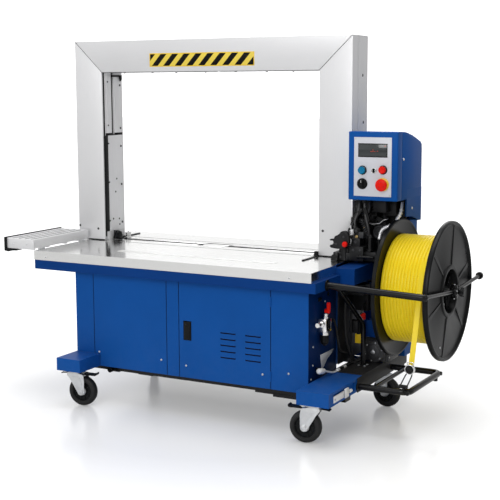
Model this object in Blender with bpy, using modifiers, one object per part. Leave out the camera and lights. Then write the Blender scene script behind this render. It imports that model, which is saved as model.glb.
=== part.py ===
"""Arch strapping machine with a powered strap dispenser, as a jointed assembly.

Machine axes: X runs along the table towards the reel, Y from front to back, Z up.
Dimensions are written from the arch: X = 0 is its centre, Y = 0 its front face, Z = 0 the floor.
The empty "machine" moves all of it so that the origin is under the middle of the whole machine.
"""
from math import acos, atan2, cos, hypot, pi, radians, sin

import bmesh
import bpy
from mathutils import Matrix, Vector

# Driving dimensions, in metres.
FIT_GAP = 0.0003            # between faces that touch
SHEET = 0.003               # cabinet sheet thickness

ARCH_OUTER = 0.5394         # half of the arch's outer width
ARCH_INNER = 0.4250         # half of its clear width
ARCH_DEPTH = 0.126
ARCH_TOP = 1.2142
ARCH_BEAM = 0.109           # height of the top beam

TABLE_TOP = 0.504
TABLE_LEFT, TABLE_RIGHT = -0.490, 0.551
TABLE_FRONT, TABLE_REAR = -0.323, 0.266
TABLE_NOTCH_X, TABLE_NOTCH_Y = 0.5455, -0.1395
LIP_LOW = 0.4733
APRON_TOP, APRON_LOW = 0.473, 0.442
APRON_RIGHT = 0.564

CABINET_LEFT, CABINET_RIGHT = -0.340, 0.528
CABINET_FRONT, CABINET_REAR = -0.293, 0.240
CABINET_LOW, CABINET_TOP = 0.1243, 0.4417
DOOR_DEPTH = 0.012
BAY_FRONT, BAY_WALL = -0.081, 0.453

FOOT_LOW, FOOT_TOP = 0.124, 0.166
FOOT_FRONT, FOOT_REAR = -0.407, 0.240
LEFT_FOOT = (-0.340, -0.246)
RIGHT_FOOT = (0.543, 0.648)

REEL_Y, REEL_Z = 0.045, 0.4165
REEL_X = 0.684              # outer face of the inner flange
REEL_BORE = 0.0115
FLANGE_RADIUS = 0.221
COIL_RADIUS = 0.1725
CORE_RADIUS = 0.098
SHAFT_RADIUS = 0.009

BOX_LEFT, BOX_RIGHT = 0.550, 0.714
BOX_FRONT, BOX_REAR = -0.050, 0.170
BOX_LOW, BOX_TOP = 0.700, 0.914
PANEL_FACE = BOX_FRONT - 0.0018
BOX_SLOPE = [(0.168, 0.868), (0.158, 0.8765), (0.119, 0.889), (0.081, 0.900), (0.036, 0.9095),
             (-0.017, BOX_TOP)]      # the sloping top, in (Y, Z)

WHEEL_RADIUS = 0.050
WHEEL_WIDTH = 0.028
CASTER_TRAIL = 0.026
TUBE_RADIUS = 0.010

PULLEY_Y = 0.125
PULLEY_WIDTH = 0.018
MOTOR_X, MOTOR_Z, MOTOR_PULLEY_RADIUS = 0.200, 0.240, 0.030
CAM_X, CAM_Z, CAM_PULLEY_RADIUS = 0.0, 0.370, 0.060
BELT_THICKNESS = 0.003

# The middle of the machine's box, which becomes the origin.
MACHINE_CENTRE = (0.14365, -0.0443, 0.0)


for leftover in list(bpy.data.objects):
    bpy.data.objects.remove(leftover, do_unlink=True)


def new_collection(name):
    collection = bpy.data.collections.new(name)
    bpy.context.scene.collection.children.link(collection)
    return collection


PARTS = new_collection("strapping_machine")
CUTTERS = new_collection("cutters")

MACHINE = bpy.data.objects.new("machine", None)
MACHINE.location = -Vector(MACHINE_CENTRE)
PARTS.objects.link(MACHINE)


def new_material(name, colour, roughness, metallic=0.0):
    material = bpy.data.materials.new(name)
    material.use_nodes = True
    shader = material.node_tree.nodes["Principled BSDF"]
    shader.inputs["Base Color"].default_value = (*colour, 1.0)
    shader.inputs["Roughness"].default_value = roughness
    shader.inputs["Metallic"].default_value = metallic
    return material


BLUE = new_material("blue_paint", (0.012, 0.082, 0.320), 0.38)
ALUMINIUM = new_material("arch_aluminium", (0.60, 0.60, 0.62), 0.32, 1.0)
STAINLESS = new_material("table_steel", (0.62, 0.62, 0.61), 0.16, 1.0)
BLACK_METAL = new_material("black_metal", (0.018, 0.018, 0.020), 0.45)
ZINC = new_material("zinc_steel", (0.55, 0.56, 0.57), 0.35, 1.0)
RUBBER = new_material("black_rubber", (0.014, 0.014, 0.014), 0.70)
BLACK_PLASTIC = new_material("black_plastic", (0.022, 0.023, 0.025), 0.35)
STRAP = new_material("yellow_strap", (0.95, 0.62, 0.02), 0.40)
RED_PLASTIC = new_material("red_plastic", (0.65, 0.03, 0.02), 0.30)
BLUE_PLASTIC = new_material("blue_plastic", (0.02, 0.25, 0.50), 0.30)
PANEL_FOIL = new_material("panel_foil", (0.62, 0.63, 0.66), 0.35)


# ---------------------------------------------------------------- shapes

def box(low, high):
    """A box between two corners."""
    shape = bmesh.new()
    size = Vector(high) - Vector(low)
    centre = (Vector(high) + Vector(low)) / 2
    matrix = Matrix.Translation(centre) @ Matrix.Diagonal((*size, 1.0))
    bmesh.ops.create_cube(shape, size=1.0, matrix=matrix)
    return shape


def rod(start, end, radius, segments=24, end_radius=None):
    """A cylinder or cone from one point to another."""
    shape = bmesh.new()
    along = Vector(end) - Vector(start)
    turn = along.to_track_quat("Z", "Y").to_matrix().to_4x4()
    matrix = Matrix.Translation((Vector(start) + Vector(end)) / 2) @ turn
    tip = radius if end_radius is None else end_radius
    bmesh.ops.create_cone(shape, cap_ends=True, segments=segments, radius1=radius,
                          radius2=tip, depth=along.length, matrix=matrix)
    return shape


AXIS_TURN = {
    "X": Matrix(((0, 0, 1), (1, 0, 0), (0, 1, 0))).to_4x4(),
    "Y": Matrix(((1, 0, 0), (0, 0, -1), (0, 1, 0))).to_4x4(),
    "Z": Matrix.Identity(4),
}


def prism(outline, axis, low, high):
    """A flat outline filled and given a thickness along X, Y or Z.

    The outline is in (Y, Z) for X, in (X, Z) for Y and in (X, Y) for Z.
    """
    curve = bpy.data.curves.new("outline", "CURVE")
    curve.dimensions = "2D"
    curve.fill_mode = "BOTH"
    curve.extrude = (high - low) / 2
    spline = curve.splines.new("POLY")
    spline.points.add(len(outline) - 1)
    for point, (across, up) in zip(spline.points, outline):
        point.co = (across, up, 0.0, 1.0)
    spline.use_cyclic_u = True
    middle = (high + low) / 2
    place = {"X": (middle, 0, 0), "Y": (0, middle, 0), "Z": (0, 0, middle)}[axis]
    return curve_shape(curve, Matrix.Translation(place) @ AXIS_TURN[axis])


def tube(points, radius, sides=2):
    """A round tube along straight runs between points."""
    curve = bpy.data.curves.new("route", "CURVE")
    curve.dimensions = "3D"
    curve.bevel_depth = radius
    curve.bevel_resolution = sides
    curve.use_fill_caps = True
    spline = curve.splines.new("POLY")
    spline.points.add(len(points) - 1)
    for point, position in zip(spline.points, points):
        point.co = (*position, 1.0)
    return curve_shape(curve, Matrix.Identity(4))


def curve_shape(curve, matrix):
    """The closed mesh of a curve, in a bmesh."""
    guide = bpy.data.objects.new("guide", curve)
    CUTTERS.objects.link(guide)
    bpy.context.view_layer.update()
    depsgraph = bpy.context.evaluated_depsgraph_get()
    mesh = bpy.data.meshes.new_from_object(guide.evaluated_get(depsgraph))
    bpy.data.objects.remove(guide, do_unlink=True)
    shape = bmesh.new()
    shape.from_mesh(mesh)
    bmesh.ops.remove_doubles(shape, verts=shape.verts, dist=0.00001)
    bmesh.ops.transform(shape, matrix=matrix, verts=shape.verts)
    bmesh.ops.recalc_face_normals(shape, faces=shape.faces)
    return shape


def rounded_route(corners, radius, steps=4):
    """Straight runs whose corners are replaced by short arcs."""
    route = [Vector(corners[0])]
    for before, corner, after in zip(corners, corners[1:], corners[2:]):
        corner = Vector(corner)
        entry = corner + (Vector(before) - corner).normalized() * radius
        leave = corner + (Vector(after) - corner).normalized() * radius
        for step in range(steps + 1):
            t = step / steps
            route.append(entry * (1 - t) ** 2 + corner * 2 * t * (1 - t) + leave * t ** 2)
    route.append(Vector(corners[-1]))
    return route


# ---------------------------------------------------------------- nodes

def object_from(name, shape, collection, origin=(0, 0, 0)):
    bmesh.ops.translate(shape, verts=shape.verts, vec=-Vector(origin))
    mesh = bpy.data.meshes.new(name)
    shape.to_mesh(mesh)
    shape.free()
    item = bpy.data.objects.new(name, mesh)
    item.location = origin
    item.parent = MACHINE
    collection.objects.link(item)
    return item


def add_boolean(item, shape, operation):
    helper = object_from(item.name + "_" + operation.lower(), shape, CUTTERS)
    helper.hide_render = True
    helper.display_type = "WIRE"
    change = item.modifiers.new(operation.lower(), "BOOLEAN")
    change.operation = operation
    change.solver = "EXACT"
    change.object = helper


def solid(name, shape, material, adds=(), cuts=(), origin=(0, 0, 0), smooth=False):
    """One node: a shape, what is joined to it, then what is cut from it."""
    item = object_from(name, shape, PARTS, origin)
    item.data.materials.append(material)
    for extra in adds:
        add_boolean(item, extra, "UNION")
    for cutter in cuts:
        add_boolean(item, cutter, "DIFFERENCE")
    if smooth:
        item.data.shade_smooth()
        item.data.set_sharp_from_angle(angle=radians(35))
    return item


def turned(name, profile, origin, axis, material, steps=32, closed=True):
    """A node turned about an axis through its origin, from (radius, height) points.

    The profile goes out along the top, down the outer side and back in along the bottom.
    """
    shape = bmesh.new()
    points = [shape.verts.new((radius, 0.0, height)) for radius, height in profile]
    for first, second in zip(points, points[1:]):
        shape.edges.new((first, second))
    if closed:
        shape.edges.new((points[-1], points[0]))
    item = object_from(name, shape, PARTS)
    item.location = origin
    item.rotation_euler = {"X": (0, pi / 2, 0), "Y": (-pi / 2, 0, 0), "Z": (0, 0, 0)}[axis]
    item.data.materials.append(material)
    screw = item.modifiers.new("turn", "SCREW")
    screw.angle = 2 * pi
    screw.steps = steps
    screw.render_steps = steps
    screw.use_merge_vertices = True
    screw.merge_threshold = 0.00001
    screw.use_smooth_shade = True
    return item


# ---------------------------------------------------------------- base and feet

def build_base():
    rail_low, rail_top = 0.108, FOOT_LOW - FIT_GAP
    front = ((-0.334, -0.272, rail_low), (0.642, -0.232, rail_top))
    rear = ((-0.334, 0.195, rail_low), (0.642, 0.235, rail_top))
    adds = [box(*rear)]
    for middle in (-0.15, 0.12, 0.38):
        adds.append(box((middle - 0.02, -0.25, rail_low + 0.003),
                        (middle + 0.02, 0.21, rail_top - 0.003)))
    adds.append(box((0.395, -0.268, 0.094), (0.500, -0.236, 0.115)))
    solid("base_frame", box(*front), BLACK_METAL, adds)

    left, right = LEFT_FOOT
    wall = 0.004
    hollow = box((left + wall, FOOT_FRONT + wall, FOOT_LOW + wall),
                 (right - wall, FOOT_REAR + 0.01, FOOT_TOP - wall))
    beam = box((left, FOOT_FRONT, FOOT_LOW), (right, FOOT_REAR, FOOT_TOP))
    solid("left_foot", beam, BLUE, cuts=[hollow])

    left, right = RIGHT_FOOT
    hollow = box((left + wall, FOOT_FRONT + wall, FOOT_LOW + wall),
                 (right - 3 * wall, FOOT_REAR + 0.01, FOOT_TOP - wall))
    recess = box((right - 0.006, -0.375, FOOT_LOW + 0.008), (right + 0.01, -0.215, FOOT_TOP - 0.008))
    beam = box((left, FOOT_FRONT, FOOT_LOW), (right, FOOT_REAR, FOOT_TOP))
    solid("right_foot", beam, BLUE, cuts=[hollow, recess])


# ---------------------------------------------------------------- cabinet

PANEL_GAP = 0.0024                           # open seam between two front panels
SEAMS = (-0.2670, 0.0210, 0.0680, 0.4000)    # the middles of those seams
LATCH_X, LATCH_Z = (0.086, 0.113), (0.249, 0.309)
LATCH_PIVOT = (0.0995, -0.2890, 0.299)
LATCH_GAP = 0.0015
DOOR_HINGE = (0.4000, CABINET_FRONT, 0.283)
LOUVRE_COLUMNS, LOUVRE_ROWS, LOUVRE_PITCH = (0.222, 0.311), 5, 0.0198
LOUVRE_LENGTH, LOUVRE_HEIGHT, LOUVRE_START = 0.054, 0.0045, 0.204
BEHIND = 0.01                                # how far cutters stand out of what they cut


def pan(first, second):
    """A folded sheet panel between two seams of the front, and the pocket behind its face."""
    left, right = SEAMS[first] + PANEL_GAP / 2, SEAMS[second] - PANEL_GAP / 2
    body = box((left, CABINET_FRONT, CABINET_LOW), (right, CABINET_FRONT + DOOR_DEPTH, CABINET_TOP))
    pocket = box((left + SHEET, CABINET_FRONT + SHEET, CABINET_LOW + SHEET),
                 (right - SHEET, CABINET_FRONT + DOOR_DEPTH + BEHIND, CABINET_TOP - SHEET))
    return body, pocket


def build_cabinet():
    top, low = CABINET_TOP, CABINET_LOW
    on_foot = FOOT_TOP + FIT_GAP
    inner_face = CABINET_LEFT + SHEET
    left_edge, right_edge = SEAMS[0] - PANEL_GAP / 2, SEAMS[3] + PANEL_GAP / 2
    side = box((CABINET_LEFT, CABINET_FRONT, on_foot), (inner_face, CABINET_REAR, top))
    post = box((CABINET_LEFT, CABINET_FRONT, on_foot), (left_edge, CABINET_FRONT + SHEET, top))
    solid("left_panel", side, BLUE, [post])

    body, pocket = pan(0, 1)
    foot_notch = box((left_edge - BEHIND, CABINET_FRONT - BEHIND, low - BEHIND),
                     (LEFT_FOOT[1] + 0.001, CABINET_FRONT + 0.02, FOOT_TOP + 0.0005))
    solid("front_left_panel", body, BLUE, cuts=[pocket, foot_notch])

    body, pocket = pan(1, 2)
    solid("centre_post", body, BLUE, cuts=[pocket])

    body, pocket = pan(2, 3)
    window = box((LATCH_X[0] - LATCH_GAP, CABINET_FRONT - BEHIND, LATCH_Z[0] - LATCH_GAP),
                 (LATCH_X[1] + LATCH_GAP, CABINET_FRONT + 0.02, LATCH_Z[1] + 0.0020))
    cuts = [pocket, window]
    for column in LOUVRE_COLUMNS:
        for row in range(LOUVRE_ROWS):
            height = LOUVRE_START + LOUVRE_PITCH * row
            cuts.append(box((column, CABINET_FRONT - BEHIND, height),
                            (column + LOUVRE_LENGTH, CABINET_FRONT + 0.01, height + LOUVRE_HEIGHT)))
    solid("louvred_door", body, BLUE, cuts=cuts, origin=DOOR_HINGE)

    paddle = box((LATCH_X[0], CABINET_FRONT - 0.0015, LATCH_Z[0]),
                 (LATCH_X[1], CABINET_FRONT + 0.006, LATCH_Z[1]))
    solid("door_latch", paddle, BLACK_PLASTIC, origin=LATCH_PIVOT)

    front = box((right_edge, CABINET_FRONT, low), (CABINET_RIGHT, CABINET_FRONT + SHEET, top))
    end = box((CABINET_RIGHT - SHEET, CABINET_FRONT, low), (CABINET_RIGHT, BAY_FRONT, top))
    fold = box((BAY_WALL - SHEET, BAY_FRONT - SHEET, low), (CABINET_RIGHT, BAY_FRONT, top))
    bay = box((BAY_WALL - SHEET, BAY_FRONT - SHEET, low), (BAY_WALL, CABINET_REAR - 0.0035, top))
    solid("right_panel", front, BLUE, [end, fold, bay])

    rear = box((inner_face + 0.0005, CABINET_REAR - SHEET, low), (CABINET_RIGHT, CABINET_REAR, top))
    rear_notch = box((inner_face, CABINET_REAR - BEHIND, low - BEHIND),
                     (LEFT_FOOT[1] + 0.0005, CABINET_REAR + BEHIND, on_foot))
    solid("rear_panel", rear, BLUE, cuts=[rear_notch])
    floor_low = FOOT_LOW + FIT_GAP
    floor = box((LEFT_FOOT[1] + 0.0005, CABINET_FRONT + DOOR_DEPTH + 0.0005, floor_low),
                (BAY_WALL - SHEET - 0.0005, CABINET_REAR - 0.0035, floor_low + SHEET))
    solid("cabinet_floor", floor, BLACK_METAL)


# ---------------------------------------------------------------- table

TRACK_Y = (0.057, 0.071)
SEAL_POCKET = ((-0.052, 0.024), (0.052, 0.104))


def build_table():
    inset, rim = 0.0015, 0.014
    outer = box((TABLE_LEFT + inset, TABLE_FRONT + inset, APRON_LOW),
                (APRON_RIGHT, TABLE_REAR - inset, APRON_TOP))
    tray = box((TABLE_LEFT + rim, TABLE_FRONT + rim, APRON_LOW + SHEET),
               (0.532, TABLE_REAR - rim, APRON_TOP + 0.01))
    opening = box((-0.320, -0.270, APRON_LOW - 0.01), (0.440, 0.220, APRON_TOP))
    corner = box((TABLE_NOTCH_X, TABLE_NOTCH_Y, APRON_LOW - 0.01), (0.60, 0.30, APRON_TOP + 0.01))
    solid("apron", outer, BLUE, cuts=[tray, opening, corner])

    beam = box((0.546, -0.139, 0.444), (0.612, 0.236, 0.494))
    solid("end_beam", beam, BLUE, cuts=[box((0.549, -0.136, 0.43), (0.609, 0.233, 0.491))])

    skin = 0.003
    top_low = TABLE_TOP - skin
    front_edge = -0.006
    plate = box((TABLE_LEFT, TABLE_FRONT, top_low), (TABLE_RIGHT, front_edge, TABLE_TOP))
    lips = [
        box((TABLE_LEFT, TABLE_FRONT, LIP_LOW), (TABLE_RIGHT, TABLE_FRONT + skin, TABLE_TOP)),
        box((TABLE_LEFT, TABLE_FRONT, LIP_LOW), (TABLE_LEFT + skin, front_edge, TABLE_TOP)),
        box((TABLE_RIGHT - skin, TABLE_FRONT, LIP_LOW), (TABLE_RIGHT, TABLE_NOTCH_Y, TABLE_TOP)),
    ]
    notch = box((TABLE_NOTCH_X, TABLE_NOTCH_Y, 0.45), (0.60, 0.0, 0.52))
    solid("table_front_plate", plate, STAINLESS, lips, [notch])

    rear_edge = ARCH_DEPTH + 0.006
    right = TABLE_NOTCH_X - 0.0005
    plate = box((TABLE_LEFT, rear_edge, top_low), (right, TABLE_REAR, TABLE_TOP))
    lips = [
        box((TABLE_LEFT, TABLE_REAR - skin, LIP_LOW), (right, TABLE_REAR, TABLE_TOP)),
        box((TABLE_LEFT, rear_edge, LIP_LOW), (TABLE_LEFT + skin, TABLE_REAR, TABLE_TOP)),
        box((right - skin, rear_edge, LIP_LOW), (right, TABLE_REAR, TABLE_TOP)),
    ]
    solid("table_rear_plate", plate, STAINLESS, lips)

    beam = box((-0.535, 0.0, LIP_LOW), (0.535, ARCH_DEPTH, TABLE_TOP))
    slot = box((-0.42, TRACK_Y[0], TABLE_TOP - 0.012), (0.42, TRACK_Y[1], TABLE_TOP + 0.01))
    (left, front), (right, rear) = SEAL_POCKET
    pocket = box((left, front, 0.46), (right, rear, 0.52))
    undersides = [box((-0.530, 0.004, 0.46), (left - 0.006, ARCH_DEPTH - 0.004, 0.488)),
                  box((right + 0.006, 0.004, 0.46), (0.530, ARCH_DEPTH - 0.004, 0.488))]
    solid("centre_bed", beam, ZINC, cuts=[slot, pocket] + undersides)

    anvil = box((left + 0.002, front + 0.002, 0.490), (right - 0.002, rear - 0.014, TABLE_TOP - 0.0005))
    anvil_slot = box((left - 0.01, TRACK_Y[0] - 0.004, 0.498), (right + 0.01, TRACK_Y[1] - 0.010, 0.52))
    solid("anvil", anvil, ZINC, cuts=[anvil_slot])


# ---------------------------------------------------------------- arch

def build_arch():
    low = TABLE_TOP + FIT_GAP
    inner_top = ARCH_TOP - ARCH_BEAM
    mitre = FIT_GAP
    wall, track_wall = 0.004, 0.012
    for name, side in (("arch_left_column", -1), ("arch_right_column", 1)):
        outline = [(side * ARCH_INNER, low), (side * ARCH_OUTER, low),
                   (side * ARCH_OUTER, ARCH_TOP - mitre), (side * ARCH_INNER, inner_top - mitre)]
        outer_wall, inner_wall = side * (ARCH_OUTER - wall), side * (ARCH_INNER + track_wall)
        cavity = box((min(outer_wall, inner_wall), wall, low - 0.01),
                     (max(outer_wall, inner_wall), ARCH_DEPTH - wall, ARCH_TOP + 0.01))
        face = side * (ARCH_INNER - 0.01)
        track = side * (ARCH_INNER + track_wall + 0.005)
        slot = box((min(face, track), TRACK_Y[0], low + 0.03), (max(face, track), TRACK_Y[1], ARCH_TOP))
        groove_end = side * (ARCH_INNER + 0.008)
        groove = box((min(face, groove_end), 0.014, low + 0.04), (max(face, groove_end), 0.030, ARCH_TOP))
        solid(name, prism(outline, "Y", 0.0, ARCH_DEPTH), ALUMINIUM, cuts=[cavity, slot, groove])

    outline = [(-ARCH_OUTER, ARCH_TOP), (ARCH_OUTER, ARCH_TOP),
               (ARCH_INNER, inner_top), (-ARCH_INNER, inner_top)]
    cavity = box((-0.60, wall, inner_top + track_wall), (0.60, ARCH_DEPTH - wall, ARCH_TOP - wall))
    slot = box((-0.60, TRACK_Y[0], inner_top - 0.01), (0.60, TRACK_Y[1], inner_top + track_wall + 0.005))
    groove = box((-0.60, 0.014, inner_top - 0.01), (0.60, 0.030, inner_top + 0.008))
    solid("arch_top_beam", prism(outline, "Y", 0.0, ARCH_DEPTH), ALUMINIUM, cuts=[cavity, slot, groove])


# ---------------------------------------------------------------- side leaf

LEAF_HINGE = (-0.4905, -0.166, 0.5045)


def build_leaf():
    left, right = -0.612, -0.4912
    front, rear = -0.322, -0.010
    low, high = 0.505, 0.540
    slots = []
    for number in range(4):
        start = left + 0.014 + 0.0265 * number
        slots.append(box((start, front + 0.020, low - 0.01), (start + 0.012, rear - 0.015, high + 0.01)))
    rail = box((left - 0.006, front - 0.004, low - 0.012), (left + 0.004, rear, high + 0.004))
    bracket = box((left - 0.004, front - 0.003, low - 0.012), (left + 0.050, front + 0.030, low + 0.004))
    solid("side_leaf", box((left, front, low), (right, rear, high)), ALUMINIUM, [rail, bracket], slots,
          origin=LEAF_HINGE)


# ---------------------------------------------------------------- control box

START_BUTTON = (0.5985, 0.7945)
RESET_BUTTON = (0.6670, 0.7970)
KEY_SWITCH = (0.6370, 0.7940)
SELECTOR = (0.5985, 0.7520)
ESTOP = (0.6655, 0.7505)
DEVICES = (START_BUTTON, RESET_BUTTON, KEY_SWITCH, SELECTOR, ESTOP)

# The sheet that carries the box comes down behind the reel and follows its rim, in (Y, Z).
CARRIER = [(0.034, 0.645), (0.085, 0.641), (0.120, 0.632), (0.150, 0.6225), (BOX_REAR, 0.6215)]
POST_LEFT, POST_RIGHT = 0.6125, 0.6765
POST_FRONT, POST_REAR = 0.1400, 0.2385


def panel_holes():
    """Clearance for the stems behind the panel."""
    return [rod((x, BOX_FRONT - 0.01, z), (x, BOX_FRONT + 0.01, z), 0.0075, 16) for x, z in DEVICES]


def build_controls():
    outline = [(BOX_FRONT, BOX_LOW), (BOX_REAR, BOX_LOW), (BOX_REAR, 0.850)] + BOX_SLOPE
    outline.append((BOX_FRONT, BOX_TOP))
    open_rear = BOX_REAR + 0.010
    inside = [(BOX_FRONT + SHEET, BOX_LOW + SHEET), (open_rear, BOX_LOW + SHEET), (open_rear, 0.845)]
    inside += [(y - 0.001, z - SHEET) for y, z in BOX_SLOPE]
    inside.append((BOX_FRONT + SHEET, BOX_TOP - SHEET))
    hollow = prism(inside, "X", BOX_LEFT + SHEET, BOX_RIGHT - SHEET)
    solid("control_box", prism(outline, "X", BOX_LEFT, BOX_RIGHT), BLUE, cuts=[hollow] + panel_holes())

    plate = box((0.5695, PANEL_FACE, 0.713), (0.6945, BOX_FRONT - FIT_GAP, 0.8970))
    solid("panel_plate", plate, PANEL_FOIL, cuts=panel_holes())

    top = BOX_LOW - FIT_GAP
    lower = box((POST_LEFT, POST_FRONT, FOOT_TOP + FIT_GAP), (POST_RIGHT, POST_REAR, top))
    block = prism(CARRIER[3:] + [(BOX_REAR, top), (POST_FRONT, top), (POST_FRONT, CARRIER[3][1])],
                  "X", POST_LEFT, BOX_RIGHT - FIT_GAP)
    sheet = prism(CARRIER + [(BOX_REAR, top), (CARRIER[0][0], top)],
                  "X", BOX_RIGHT - SHEET, BOX_RIGHT - FIT_GAP)
    shaft = box((POST_LEFT + SHEET, POST_FRONT - BEHIND, FOOT_TOP + 0.02),
                (POST_RIGHT - SHEET, POST_REAR - SHEET, top - SHEET))
    chamber = box((POST_LEFT + SHEET, POST_FRONT - BEHIND, CARRIER[3][1] + SHEET),
                  (BOX_RIGHT - SHEET, BOX_REAR - SHEET, top - SHEET))
    solid("control_post", lower, BLUE, [block, sheet], [shaft, chamber])

    def knob(name, place, cap_radius, cap_length, travel, material, stem=0.0065, crown=0.002):
        """A cap that stands clear of the panel by its travel, on a stem through it."""
        back = PANEL_FACE - FIT_GAP - travel
        depth = (BOX_FRONT + 0.012) - back
        shoulder = cap_length - crown
        profile = [(0.0, cap_length), (cap_radius - crown, cap_length), (cap_radius, shoulder),
                   (cap_radius, 0.0), (stem, 0.0), (stem, -depth), (0.0, -depth)]
        item = turned(name, profile, (place[0], back, place[1]), "Y", material, 24, closed=False)
        item.rotation_euler = (pi / 2, 0, 0)
        return item

    knob("start_button", START_BUTTON, 0.0115, 0.009, 0.0035, BLUE_PLASTIC)
    knob("reset_button", RESET_BUTTON, 0.0115, 0.009, 0.0035, RED_PLASTIC)
    knob("key_switch", KEY_SWITCH, 0.0095, 0.006, 0.0, ZINC, crown=0.001)
    knob("selector_knob", SELECTOR, 0.0155, 0.012, 0.0, BLACK_PLASTIC)
    knob("estop_button", ESTOP, 0.0195, 0.012, 0.0050, RED_PLASTIC, crown=0.005)


# ---------------------------------------------------------------- reel and its frames

def build_reel():
    axis = (REEL_X, REEL_Y, REEL_Z)
    bore, rim = REEL_BORE, FLANGE_RADIUS
    inner = [(bore, 0.146), (0.018, 0.146), (0.018, 0.010), (0.094, 0.010), (0.095, 0.012), (0.095, 0.165),
             (CORE_RADIUS, 0.165), (CORE_RADIUS, 0.006), (rim - 0.007, 0.006), (rim - 0.005, 0.010),
             (rim, 0.009), (rim, -0.003), (rim - 0.006, -0.004), (rim - 0.008, 0.0), (0.060, 0.0),
             (bore, 0.0)]
    turned("reel_inner_flange", inner, axis, "X", BLACK_PLASTIC, 48)
    outer = [(bore, 0.151), (0.064, 0.151), (0.070, 0.177), (0.0825, 0.177), (0.0835, 0.171),
             (rim - 0.010, 0.171), (rim - 0.008, 0.176), (rim - 0.004, 0.178), (rim, 0.175),
             (rim, 0.162), (rim - 0.004, 0.159), (rim - 0.009, 0.1655), (0.094, 0.1655),
             (0.0905, 0.147), (bore, 0.147)]
    turned("reel_outer_flange", outer, axis, "X", BLACK_PLASTIC, 48)
    coil_bore = CORE_RADIUS + 0.0004
    coil = [(coil_bore, 0.165), (COIL_RADIUS - 0.001, 0.165), (COIL_RADIUS, 0.164), (COIL_RADIUS, 0.0075),
            (COIL_RADIUS - 0.001, 0.0065), (coil_bore, 0.0065)]
    turned("strap_coil", coil, axis, "X", STRAP, 48)

    base = BAY_WALL + 0.0005
    reach = 0.8595 - base
    collar = REEL_X - base - 0.0045
    shaft = [(0.0, reach), (SHAFT_RADIUS - 0.001, reach), (SHAFT_RADIUS, reach - 0.001),
             (SHAFT_RADIUS, collar), (0.017, collar), (0.017, collar - 0.012),
             (SHAFT_RADIUS, collar - 0.012), (SHAFT_RADIUS, 0.0), (0.0, 0.0)]
    turned("reel_shaft", shaft, (base, REEL_Y, REEL_Z), "X", ZINC, 24, closed=False)

    tip = 0.8873
    knob = [(0.0, 0.018), (0.014, 0.018), (0.016, 0.016), (0.016, 0.004), (0.010, 0.0), (0.0, 0.0)]
    turned("reel_clamp_knob", knob, (tip, REEL_Y, REEL_Z), "X", BLACK_PLASTIC, 12, closed=False)


FRAME_X, FRAME_Y = 0.872, -0.239
FRAME_CORNER = (FRAME_X, FRAME_Y, 0.4435)
HUB_BAR = [FRAME_CORNER, (FRAME_X, REEL_Y, REEL_Z), (FRAME_X, 0.315, 0.427)]
FRONT_BAR_RADIUS, HUB_BAR_RADIUS = 0.0105, 0.0065
GUARD_X, GUARD_Z = 0.812, 0.140
GUARD_FRONT, GUARD_REAR = -0.190, 0.085
GUARD_START = RIGHT_FOOT[1] + 0.0005
GUARD_CORNERS = [(GUARD_START, GUARD_FRONT, GUARD_Z), (GUARD_X, GUARD_FRONT, GUARD_Z),
                 (GUARD_X + 0.006, GUARD_REAR, GUARD_Z), (GUARD_START, GUARD_REAR, GUARD_Z)]
GUIDE_PIVOT = (0.796, -0.190, 0.1575)
GUIDE_EYE = (0.8205, -0.203, 0.2165)
EYE_RADIUS, EYE_HALF = 0.0155, 0.0045
STRAP_WIDTH = 0.0155


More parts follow.
